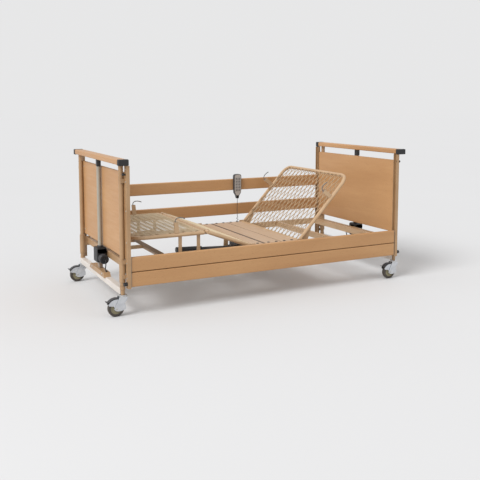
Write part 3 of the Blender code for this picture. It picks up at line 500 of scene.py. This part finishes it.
def make_camera():
    """Camera at the photograph's viewing angle, level with a small downward shift."""
    data = bpy.data.cameras.new("camera")
    camera = add_to_scene("camera", data)
    data.sensor_width = 36.0
    data.lens = CAMERA_LENS
    data.shift_y = CAMERA_SHIFT_Y
    camera.location = CAMERA_PLACE
    level = math.cos(CAMERA_PITCH)
    aim(camera, (math.cos(CAMERA_YAW) * level, math.sin(CAMERA_YAW) * level,
                 -math.sin(CAMERA_PITCH)))
    bpy.context.scene.camera = camera


def area_light(name, location, target, size, power):
    """Round softbox that points at a target."""
    data = bpy.data.lights.new(name, "AREA")
    data.shape = "DISK"
    data.size = size
    data.energy = power
    light = add_to_scene(name, data)
    light.location = location
    aim(light, Vector(target) - Vector(location))


def sun(name, direction, strength, spread):
    """Broad light from a direction; returns what it adds to a level white floor."""
    data = bpy.data.lights.new(name, "SUN")
    data.energy = strength
    data.angle = math.radians(spread)
    aim(add_to_scene(name, data), -Vector(direction))
    return strength * Vector(direction).normalized().z / math.pi


def make_studio():
    """Even pale room whose lit floor comes out just as bright as the walls."""
    world = bpy.data.worlds.new("studio")
    bpy.context.scene.world = world
    world.use_nodes = True
    background = world.node_tree.nodes["Background"]
    background.inputs["Color"].default_value = (*ROOM_TINT, 1.0)
    background.inputs["Strength"].default_value = ROOM_LIGHT
    lit = sun("key", SUN_DIRECTION, SUN_STRENGTH, SUN_SPREAD)
    area_light("glint_left", (-4.0, -2.5, 2.2), (0.0, 0.0, 0.5), 1.2, 14.0)
    area_light("glint_right", (3.0, -4.5, 2.5), (0.2, 0.0, 0.4), 1.2, 10.0)

    bm = bmesh.new()
    bmesh.ops.create_circle(bm, cap_ends=True, segments=96, radius=FLOOR_RADIUS)
    mesh = bpy.data.meshes.new("floor")
    bm.to_mesh(mesh)
    bm.free()
    shader = Shader("pale_floor", roughness=1.0)
    shader.main.inputs["Specular IOR Level"].default_value = 0.0
    cloud = shader.noise(0.6, 2.0, 0.5)
    share = ROOM_LIGHT / (ROOM_LIGHT + lit)
    pale = tuple(share * tint for tint in ROOM_TINT)
    faint = tuple(0.994 * value for value in pale)
    shader.colour(shader.mix(shader.span(cloud, 0.3, 0.7, 0.0, 1.0), pale, faint))
    mesh.materials.append(shader.material)
    floor = add_to_scene("floor", mesh)
    floor.location = (0.0, 0.0, -0.0005)
    bpy.context.scene.view_settings.view_transform = "Standard"


# ---------------------------------------------------------- handset and cord
HANDSET_X = 0.222
HANDSET_LOW = 0.522
HANDSET_HIGH = 0.716
HANDSET_FRONT_Y = 0.4690
HANDSET_BACK_Y = 0.4956
CORD_Y = 0.479
SOCKET = (0.300, 0.449, 0.258)
WIRE_RADIUS = 0.0019
COIL_RADIUS = 0.0085 - WIRE_RADIUS - 0.0002
COIL_PITCH = 0.0075
COIL_OPENS_Z = 0.190
COIL_TOP_Z = 0.380
COIL_FADE_IN = 0.012
COIL_FADE_OUT = 0.014
WIRE_STEP = 0.0028


def coiled(line):
    """Wire along a line, wound to a helix whose turns open out above the lowest point."""
    lengths = [0.0]
    for first, second in zip(line, line[1:]):
        lengths.append(lengths[-1] + (second - first).length)
    bottom = min(range(len(line)), key=lambda i: line[i].z)
    coil_start = next(i for i in range(len(line)) if lengths[i] > COIL_FADE_IN)
    coil_end = next(i for i in range(bottom, len(line)) if line[i].z > COIL_TOP_Z)
    path = []
    turn = 0.0
    normal = Vector((1, 0, 0))
    for i in range(len(line) - 1):
        tangent = (line[i + 1] - line[i]).normalized()
        normal = (normal - tangent * normal.dot(tangent)).normalized()
        other = tangent.cross(normal)
        opening = 0.10 if i < bottom else 0.085
        pitch = COIL_PITCH + opening * max(0.0, line[i].z - COIL_OPENS_Z)
        grow = min(1.0, max(0.0, (lengths[i] - lengths[coil_start]) / COIL_FADE_IN),
                   max(0.0, (lengths[coil_end] - lengths[i]) / COIL_FADE_OUT))
        span = lengths[i + 1] - lengths[i]
        wound = coil_start <= i <= coil_end
        steps = max(1, math.ceil(14 * span / pitch)) if wound else 1
        for k in range(steps):
            if wound:
                turn += 2 * math.pi * span / pitch / steps
            point = line[i].lerp(line[i + 1], k / steps)
            out = normal * math.cos(turn) + other * math.sin(turn)
            path.append(point + out * (COIL_RADIUS * grow))
    path.append(line[-1])
    return path


def thinned(path, step):
    """Leave out points that are closer than a step to the last one kept."""
    kept = [path[0]]
    for point in path[1:-1]:
        if (point - kept[-1]).length > step:
            kept.append(point)
    kept.append(path[-1])
    return kept


def handset_cord():
    """Lead with a helix in its lower part, from the frame's gland up to the handset."""
    route = [SOCKET, (0.300, 0.449, 0.235), (0.290, 0.452, 0.205),
             (0.261, 0.465, 0.182), (0.230, 0.476, 0.212), (0.223, CORD_Y, 0.260),
             (HANDSET_X, CORD_Y, 0.330), (HANDSET_X, CORD_Y, 0.384),
             (HANDSET_X - 0.001, CORD_Y, 0.415), (HANDSET_X - 0.001, CORD_Y, 0.450),
             (HANDSET_X, CORD_Y, 0.490), (HANDSET_X, CORD_Y, HANDSET_LOW - 0.0003)]
    path = thinned(coiled(smooth_line(route, 60)), WIRE_STEP)
    bm = bmesh.new()
    tube(bm, path, WIRE_RADIUS, 8)
    cord = piece("handset_lead", bm, "cord", None, ("handset_cord", "handset_cord_coil"),
                 angle=60)
    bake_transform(cord)


# ------------------------------------------------------------- woven sections
def clip(start, end, outline):
    """Part of a line that lies inside a convex outline drawn anticlockwise."""
    low = 0.0
    high = 1.0
    direction = end - start
    for i in range(len(outline)):
        a = Vector(outline[i])
        b = Vector(outline[(i + 1) % len(outline)])
        edge = b - a
        inward = Vector((-edge.y, edge.x))
        ahead = direction.dot(inward)
        depth = (start - a).dot(inward)
        if abs(ahead) < 1e-12:
            if depth < 0:
                return None
            continue
        t = -depth / ahead
        if ahead > 0:
            low = max(low, t)
        else:
            high = min(high, t)
    if high - low < 1e-3:
        return None
    return start + direction * low, start + direction * high


def wire_panel(name, node, body, outline, middle_z, place, coating, wide=0.037,
               long=0.090, radius=0.0022):
    """Diamond mesh of straight wires in two layers, welded to the section's tubes."""
    slope = wide / long
    bm = bmesh.new()
    xs = [p[0] for p in outline]
    low_x, high_x = min(xs), max(xs)
    half_y = max(abs(p[1]) for p in outline)
    reach = (high_x - low_x) * slope
    for direction, z in ((1, middle_z - radius), (-1, middle_z + radius)):
        count = int((2 * half_y + reach) / wide) + 2
        for k in range(-1, count):
            y = -half_y - reach / 2 + (k + 0.5) * wide
            start = Vector((low_x - 0.001, y - direction * reach / 2))
            end = Vector((high_x + 0.001, y + direction * reach / 2))
            part = clip(start, end, outline)
            if part:
                a, b = part
                rod(bm, (a.x, a.y, z), (b.x, b.y, z), radius, 6, 0.0)
    piece(name, bm, coating, body, (node,), place, 50)


def rounded_end(low_x, high_x, half_y, corner, end_sign):
    """Outline of a section with rounded corners at its head or its foot end."""
    if end_sign > 0:
        inner = high_x - corner
        outline = [(low_x, -half_y)]
        outline += arc((inner, -half_y + corner), corner, -90, 0, 8)
        outline += arc((inner, half_y - corner), corner, 0, 90, 8)
        outline += [(low_x, half_y)]
    else:
        inner = low_x + corner
        outline = [(high_x, half_y)]
        outline += arc((inner, half_y - corner), corner, 90, 180, 8)
        outline += arc((inner, -half_y + corner), corner, 180, 270, 8)
        outline += [(high_x, -half_y)]
    return outline


def wire_panels():
    """The three sprung panels, each a little inside its own tubes."""
    clear = TUBE_RADIUS - 0.0050
    lift = 0.0105
    half_y = SECTION_Y - clear
    z = BACK_HINGE.z + lift
    low = BACK_HINGE.x + 0.008
    high = BACK_HINGE.x + BACK_LENGTH - clear
    wire_panel("backrest_wires", "backrest_mesh", "backrest",
               rounded_end(low, high, half_y, CORNER_RADIUS - clear, 1), z, BACK_PLACE, "wire",
               0.050, 0.112, 0.0025)
    low = THIGH_HINGE.x - THIGH_LENGTH + 0.020
    high = THIGH_HINGE.x - 0.008
    outline = [(low, -half_y), (high, -half_y), (high, half_y), (low, half_y)]
    wire_panel("thigh_wires", "thigh_mesh", "thigh_rest", outline, z, THIGH_PLACE, "pale_wire")
    low = KNEE.x - CALF_LENGTH + clear
    high = KNEE.x - 0.040
    wire_panel("calf_wires", "calf_mesh", "calf_rest",
               rounded_end(low, high, half_y, CORNER_RADIUS - clear, -1), KNEE.z + lift,
               PLACE, "pale_wire")


# ------------------------------------------------------------- finish on CAD
def assign(name, material):
    """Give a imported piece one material."""
    mesh = NODES[name].data
    mesh.materials.clear()
    mesh.materials.append(MATERIALS[material])


def assign_where(name, material, test, place=PLACE):
    """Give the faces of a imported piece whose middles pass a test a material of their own."""
    mesh = NODES[name].data
    back = place.inverted()
    mesh.materials.append(MATERIALS[material])
    index = len(mesh.materials) - 1
    for polygon in mesh.polygons:
        if test(back @ polygon.center):
            polygon.material_index = index


def dress_end(end):
    assign(f"{end}_panel", "wood_y")
    assign(f"{end}_top_rail", "wood_y")
    # The whole base frame gets the cream, a painted floor reflection, and then the parts above
    # and beyond the crossbar get the beige paint back.
    assign(f"{end}_board_frame", "paint")
    assign(f"base_frame_{end}", "pale")
    assign_where(f"base_frame_{end}", "paint",
                 lambda p: p.z > CROSSBAR_TOP + 0.0005 or abs(p.y) > CROSSBAR_HALF_Y + 0.0005)
    assign(f"lift_actuator_{end}", "black")
    assign_where(f"lift_actuator_{end}", "lift_tube", lambda p: p.z > LIFT_HOUSING_HIGH + 0.010)
    assign_where(f"lift_actuator_{end}", "stay", lambda p: p.z < LIFT_HOUSING_LOW - 0.0005)
    assign(f"lift_rod_{end}", "steel")
    assign_where(f"lift_rod_{end}", "black", lambda p: p.z > PANEL_HIGH - 0.0002)
    for side, _ in SIDES:
        assign(f"top_rail_cap_{end}_{side}", "black")
        assign(f"rail_channel_{end}_{side}", "paint")
        assign_where(f"rail_channel_{end}_{side}", "black",
                     lambda p: abs(p.x) > CHANNEL_OUTER_X + 0.0012 and p.z < RELEASE_TOP)
        assign(f"rail_release_{end}_{side}", "black")
        assign(f"castor_{end}_{side}_fork", "chrome")
        assign(f"castor_{end}_{side}_pedal", "dark_grey")


def dress_frame():
    """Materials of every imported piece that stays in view."""
    for end, _ in ENDS:
        dress_end(end)
    for side, _ in SIDES:
        for level in ("lower", "upper"):
            assign(f"side_rail_{side}_{level}", "wood_x")
        for section, place, base in (("back", BACK_PLACE, BACK_HINGE.z), ("calf", PLACE, KNEE.z)):
            name = f"mattress_retainer_{section}_{side}"
            assign(name, "tube_paint")
            hook_z = base + TUBE_RADIUS + RETAINER_STEM - HOOK_HEIGHT
            assign_where(name, "hook", lambda p: p.z > hook_z, place)
    for name in ("lying_frame_head", "lying_frame_foot", "backrest_frame", "thigh_frame",
                 "calf_frame"):
        assign(name, "tube_paint")
    assign("seat_slats", "slats")
    assign("calf_stay", "stay")
    assign("drive_unit", "black")
    assign_where("drive_unit", "dark_grey",
                 lambda p: LEG_MOTOR_LOW_X < p.x < LEG_MOTOR_HIGH_X)
    assign("back_drive_rod", "steel")
    assign("leg_drive_rod", "steel")
    assign("handset", "dark_grey")


# ------------------------------------------------------------ fitted details
def screw(bm, centre, axis, radius=0.0055, height=0.003):
    """Domed screw head on a thin washer."""
    washer = height * 0.3
    profile = [(radius * 1.25, 0.0), (radius * 1.25, washer), (radius, washer * 1.01),
               (radius * 0.96, height * 0.62), (radius * 0.72, height * 0.90),
               (radius * 0.36, height), (radius * 0.30, height * 0.72)]
    lathe(bm, profile, centre, axis, 16)


def lift_details(end, sign):
    """Motor ribs, cover plates, screws and the cable's stub on an end's lift."""
    base = f"{end}_base"
    axis_x = sign * LIFT_AXIS_X
    cover_x = axis_x - sign * LIFT_COVER_X
    bm = bmesh.new()
    for k in range(7):
        y = sign * (0.056 + 0.0065 * k)
        rod(bm, (axis_x, y, LIFT_MOTOR_Z), (axis_x, y + sign * 0.0030, LIFT_MOTOR_Z), 0.0296, 28)
    for side in (-1, 1):
        block(bm, (axis_x - 0.030, side * 0.0452, LIFT_HOUSING_LOW + 0.062),
              (axis_x + 0.030, side * 0.0466, LIFT_HOUSING_LOW + 0.088), 0.0006)
    block(bm, (cover_x + sign * 0.0015, -0.034, LIFT_HOUSING_LOW + 0.014),
          (cover_x, 0.034, LIFT_HOUSING_HIGH - 0.014), 0.0006)
    rod(bm, (axis_x, 0.0, LIFT_HOUSING_HIGH), (axis_x, 0.0, LIFT_HOUSING_HIGH + 0.011),
        0.0185, 28)
    piece(f"lift_housing_ribs_{end}", bm, "dark_grey", base)

    bm = bmesh.new()
    for y in (-0.026, 0.026):
        for z in (LIFT_HOUSING_LOW + 0.022, LIFT_HOUSING_HIGH - 0.022):
            screw(bm, (cover_x, y, z), (-sign, 0, 0), 0.0030, 0.0018)
    for y in (-0.120, 0.120):
        screw(bm, (sign * BRACKET_OUTER_X, y, BRACKET_TOP - 0.013), (sign, 0, 0), 0.0060, 0.0030)
    piece(f"lift_screws_{end}", bm, "zinc", base)

    bm = bmesh.new()
    plug_z = BRACKET_TOP + 0.0050
    # Sideways and upward steps of the stub from the middle of the motor's end.
    droop = ((0.0, 0.0), (0.012, -0.006), (0.010, -0.034), (-0.002, -0.056))
    anchors = [(axis_x, sign * (LIFT_MOTOR_END_Y + out), LIFT_MOTOR_Z + up) for out, up in droop]
    anchors.append((axis_x, sign * (LIFT_MOTOR_END_Y + 0.012), plug_z - 0.0008))
    tube(bm, smooth_line(anchors, 8), CABLE_RADIUS, 10)
    rod(bm, (axis_x, sign * (LIFT_MOTOR_END_Y + 0.008), plug_z),
        (axis_x, sign * (LIFT_MOTOR_END_Y + 0.032), plug_z), 0.0048, 14)
    piece(f"lift_cable_{end}", bm, "cable", base)


def panel_details(end, sign):
    """Corner screws and edging strips of an end board's panel."""
    bm = bmesh.new()
    for z in (PANEL_LOW + 0.035, PANEL_HIGH - 0.035):
        for y in (-0.440, 0.440):
            screw(bm, (sign * PANEL_OUTER_X, y, z), (sign, 0, 0), 0.0055, 0.0026)
    piece(f"panel_screws_{end}", bm, "zinc", "bed")

    strip = 0.0009
    edge_x = (sign * (PANEL_INNER_X + 0.0005), sign * (PANEL_OUTER_X - 0.0005))
    bm = bmesh.new()
    for edge in (-1, 1):
        block(bm, (edge_x[0], edge * PANEL_HALF_Y, PANEL_LOW + 0.002),
              (edge_x[1], edge * (PANEL_HALF_Y + strip), PANEL_HIGH - 0.002))
    for z in (PANEL_LOW - strip, PANEL_HIGH):
        block(bm, (edge_x[0], -PANEL_HALF_Y + 0.002, z),
              (edge_x[1], PANEL_HALF_Y - 0.002, z + strip))
    piece(f"panel_edging_{end}", bm, "wood_x", "bed")


def column_details(end, sign, side, side_sign):
    """Screws down a rail channel, and the two collars that the inner leg runs in."""
    bm = bmesh.new()
    for z in (0.235, 0.325, 0.450, 0.640, 0.815, 0.890):
        screw(bm, (sign * CHANNEL_OUTER_X, side_sign * CHANNEL_Y, z), (sign, 0, 0), 0.0042,
              0.0024)
    piece(f"channel_screws_{end}_{side}", bm, "zinc", "bed")

    x = sign * COLUMN_X
    y = side_sign * COLUMN_Y
    bm = bmesh.new()
    rod(bm, (x, y, SLEEVE_TOP), (x, y, SLEEVE_TOP + 0.007), 0.0176, 28)
    rod(bm, (x, y, COLUMN_LOW - 0.0215), (x, y, COLUMN_LOW - 0.0015), 0.0150, 24)
    piece(f"column_rings_{end}_{side}", bm, "paint", "bed")


def end_details():
    for end, sign in ENDS:
        lift_details(end, sign)
        panel_details(end, sign)
        for side, side_sign in SIDES:
            column_details(end, sign, side, side_sign)


def castor_hood(name, wheel_x, y):
    """Bright plate either side of the wheel, joined by a shell over its top."""
    bm = bmesh.new()
    cheek = arc((wheel_x, WHEEL_RADIUS), HOOD_RADIUS, -8, 152, 20)
    cheek += [(wheel_x - 0.044, 0.0700), (wheel_x - 0.016, 0.0660), (wheel_x - 0.010, 0.0440),
              (wheel_x + 0.006, 0.0330), (wheel_x + 0.030, 0.0330)]
    for face in (-1, 1):
        edges = sorted((y + face * HOOD_INNER_Y, y + face * HOOD_OUTER_Y))
        plate(bm, cheek, "Y", *edges)
    shell = (arc((wheel_x, WHEEL_RADIUS), HOOD_OUTER_RADIUS, -8, 72, 14)
             + arc((wheel_x, WHEEL_RADIUS), HOOD_RADIUS, 72, -8, 8))
    plate(bm, shell, "Y", y - HOOD_OUTER_Y, y + HOOD_OUTER_Y)
    piece(f"{name}_hood", bm, "chrome", f"{name}_swivel")


def castor_heads(name, x, wheel_x, y):
    """Axle nuts on the fork and the washer under the base frame."""
    bm = bmesh.new()
    for face in (-1, 1):
        screw(bm, (wheel_x, y + face * 0.0215, WHEEL_RADIUS), (0, face, 0), 0.0060, 0.0042)
    rod(bm, (x, y, 0.1195), (x, y, 0.1245), 0.0252, 28)
    piece(f"{name}_axle_heads", bm, "zinc", f"{name}_swivel")


def mirrored_profile(half):
    """Closed profile of (radius, along) points from its half on the positive side."""
    return [(radius, -along) for radius, along in reversed(half)] + half


def spoke(angle):
    return Vector((math.cos(angle), 0.0, math.sin(angle)))


def castor_wheel(name, centre):
    """Rubber tyre with fine moulding lines, and a ribbed hub inside it."""
    tread = arc((0.0455, 0.0085), 0.0045, 0, 80, 5)
    shoulder = [(0.0420, 0.0132), (0.0350, 0.0128), (0.0345, 0.0080)]
    across = Vector((0.0, 0.0070, 0.0))
    bm = bmesh.new()
    hoop(bm, mirrored_profile(tread + shoulder), centre, 48)
    for k in range(24):
        line = centre + spoke(2 * math.pi * k / 24) * 0.0497
        rod(bm, line - across, line + across, 0.0003, 6)
    piece(f"{name}_tyre", bm, "tyre", f"{name}_roll", (f"{name}_wheel",))

    hub = [(0.0343, 0.0115), (0.0318, 0.0122), (0.0290, 0.0090), (0.0170, 0.0090),
           (0.0150, 0.0145), (0.0046, 0.0150)]
    bm = bmesh.new()
    hoop(bm, mirrored_profile(hub), centre, 40)
    for face in (-1, 1):
        level = centre + Vector((0.0, face * 0.0092, 0.0))
        for k in range(6):
            out = spoke(math.radians(60 * k + 15))
            rod(bm, level + out * 0.0160, level + out * 0.0300, 0.0017, 8)
    piece(f"{name}_hub", bm, "hub", f"{name}_roll")


def castor_pedal(name, centre):
    """Grip ribs across the top of the brake pedal."""
    across = Vector((0.0, 0.0120, 0.0))
    bm = bmesh.new()
    for k in range(5):
        rib = centre + spoke(math.radians(112 + 5 * k)) * PEDAL_RADIUS
        rod(bm, rib - across, rib + across, 0.0009, 8)
    piece(f"{name}_pedal_ribs", bm, "dark_grey", f"{name}_brake")


def castor_details():
    for end, sign in ENDS:
        for side, side_sign in SIDES:
            name = f"castor_{end}_{side}"
            x = sign * COLUMN_X
            y = side_sign * COLUMN_Y
            centre = Vector((x - CASTOR_TRAIL, y, WHEEL_RADIUS))
            castor_hood(name, centre.x, y)
            castor_heads(name, x, centre.x, y)
            castor_wheel(name, centre)
            castor_pedal(name, centre)


def rail_details():
    """Thin caps on the ends of the four side rails."""
    lows = {"left": (RAIL_LOW_DOWN, RAIL_HIGH_DOWN),
            "right": (RAIL_LOW_DOWN + RAIL_LOW_LIFT, RAIL_HIGH_DOWN + RAIL_HIGH_LIFT)}
    proud = 0.0005
    for side, side_sign in SIDES:
        for level, low in zip(("lower", "upper"), lows[side]):
            bm = bmesh.new()
            for _, sign in ENDS:
                edges_x = sorted((sign * (RAIL_HALF_LENGTH - 0.0035), sign * RAIL_HALF_LENGTH))
                edges_y = sorted((side_sign * (RAIL_INNER_Y - proud),
                                  side_sign * (RAIL_OUTER_Y + proud)))
                block(bm, (edges_x[0], edges_y[0], low - 0.0004),
                      (edges_x[1], edges_y[1], low + RAIL_HEIGHT + 0.0004), 0.0008)
            piece(f"rail_end_caps_{side}_{level}", bm, "stay", f"rail_{side}_{level}")


def frame_bolts():
    """Hinge bolts of the sections and the bolts of the frame's joints."""
    bm = bmesh.new()
    for x in (BACK_HINGE.x, THIGH_HINGE.x):
        for side in (-1, 1):
            screw(bm, (x, side * HINGE_BOLT_Y, BACK_HINGE.z), (0, side, 0), 0.0085, 0.0045)
    for xs in ((-FRAME_HALF_X,), (FRAME_HALF_X, FRAME_JOINT_X)):
        for side in (-1, 1):
            for x in xs:
                for z in (0.286, 0.304):
                    screw(bm, (x, side * FRAME_BOLT_Y, z), (0, side, 0), 0.0048, 0.0026)
    piece("frame_bolts", bm, "zinc", "bed")


def slat_details():
    """Plugs at the slats' ends, and dark strips in the gaps between the slats that stand in for
    the shade in those gaps.
    """
    bm = bmesh.new()
    for x in (-0.075, 0.008, 0.068, 0.131, 0.190):
        for side in (-1, 1):
            lathe(bm, [(0.0100, 0.0), (0.0094, 0.0022), (0.0060, 0.0034)],
                  (x, side * 0.4150, SLAT_TOP), (0, 0, 1), 18)
    piece("slat_plugs", bm, "black", "bed")

    bm = bmesh.new()
    # Dark strips in the gaps between slats and at the backrest's hinge: painted shade where the
    # gaps fall dark.
    for low_x, high_x in ((-0.0372, -0.0228), (0.0983, 0.1007)):
        block(bm, (low_x, -SLAT_HALF_Y, SLAT_LOW), (high_x, SLAT_HALF_Y, SLAT_TOP - 0.0004))
    # The last strip stops either side of the backrest's lever.
    for low_y, high_y in ((-0.405, LEVER_Y - 0.060), (LEVER_Y + 0.060, 0.405)):
        block(bm, (0.2204, low_y, SLAT_LOW), (0.2236, high_y, SLAT_TOP - 0.0035))
    piece("slat_gap_shade_strips", bm, "dark_brown", "bed")


def drive_details():
    """Ribs, side covers, screws and the cable's visible run on the drive."""
    bm = bmesh.new()
    for x in (0.005, 0.085):
        for k in range(4):
            z = DRIVE_AXIS_Z - 0.044 - 0.008 * k
            rod(bm, (x, 0.0, z), (x, 0.0, z - 0.0030), 0.0332, 28)
    for side in (-1, 1):
        block(bm, (-0.030, side * DRIVE_HALF_Y, DRIVE_AXIS_Z - 0.024),
              (0.120, side * (DRIVE_HALF_Y + 0.0014), DRIVE_AXIS_Z + 0.024), 0.0006)
    piece("drive_ribs", bm, "dark_grey", "bed")

    bm = bmesh.new()
    for x in (-0.022, 0.112):
        for side in (-1, 1):
            for z in (DRIVE_AXIS_Z - 0.016, DRIVE_AXIS_Z + 0.016):
                screw(bm, (x, side * (DRIVE_HALF_Y + 0.0014), z), (0, side, 0), 0.0030, 0.0018)
    piece("drive_screws", bm, "zinc", "bed")

    bm = bmesh.new()
    anchors = [(0.060, -DRIVE_HALF_Y - 0.0014, 0.238), (0.070, -0.110, 0.226),
               (0.120, -0.180, 0.226), (0.220, -0.300, 0.244), (0.330, -0.400, 0.262),
               (0.420, -0.4300, 0.2690)]
    tube(bm, smooth_line(anchors, 8), CABLE_RADIUS, 10)
    piece("drive_cable", bm, "cable", "bed")


def handset_outline(inset):
    """Front outline of the handset, narrow at the cord's end, drawn in by an inset."""
    half_width = 0.031
    corner = 0.018
    right = [(0.006, HANDSET_LOW + inset), (0.010, HANDSET_LOW + 0.020),
             (0.027, HANDSET_LOW + 0.044), (half_width, HANDSET_LOW + 0.078)]
    right += arc((half_width - corner, HANDSET_HIGH - corner), corner, 0, 90, 8)
    middle_z = (HANDSET_LOW + HANDSET_HIGH) / 2
    half = (HANDSET_HIGH - HANDSET_LOW) / 2
    return mirrored_outline([(x * (1 - inset / half_width),
                              middle_z + (z - middle_z) * (1 - inset / half))
                             for x, z in right])


def mirrored_outline(right):
    """Closed outline about the handset's middle from the points of its right half."""
    left = [(-x, z) for x, z in reversed(right)]
    return [(HANDSET_X + x, z) for x, z in right + left]


def handset_details():
    """Lighter sealed keypad, two columns of blank keys, and the cord's ribbed boot."""
    bm = bmesh.new()
    plate(bm, handset_outline(0.0036), "Y", HANDSET_FRONT_Y - 0.0008, HANDSET_FRONT_Y)
    piece("handset_face", bm, "keypad", "handset")

    bm = bmesh.new()
    for row in range(5):
        for column in (-1, 1):
            x = HANDSET_X + column * 0.0120
            z = HANDSET_HIGH - 0.036 - 0.0225 * row
            block(bm, (x - 0.0085, HANDSET_FRONT_Y - 0.0020, z - 0.0080),
                  (x + 0.0085, HANDSET_FRONT_Y - 0.0007, z + 0.0080), 0.0006)
    piece("handset_keys", bm, "key", "handset")

    bm = bmesh.new()
    boot = [(0.0070, HANDSET_LOW + 0.0004), (0.0110, HANDSET_LOW + 0.0200),
            (0.0150, HANDSET_LOW + 0.0252)]
    plate(bm, mirrored_outline(boot), "Y", HANDSET_FRONT_Y - 0.0008, HANDSET_BACK_Y, 0.0006)
    for k in range(4):
        z = HANDSET_LOW + 0.0040 + 0.0045 * k
        half = 0.0076 + 0.0009 * k
        block(bm, (HANDSET_X - half, HANDSET_FRONT_Y - 0.0014, z),
              (HANDSET_X + half, HANDSET_BACK_Y + 0.0001, z + 0.0016))
    piece("handset_boot", bm, "black", "handset")


make_camera()
make_studio()
dress_frame()
handset_cord()
wire_panels()
end_details()
castor_details()
rail_details()
frame_bolts()
slat_details()
drive_details()
handset_details()
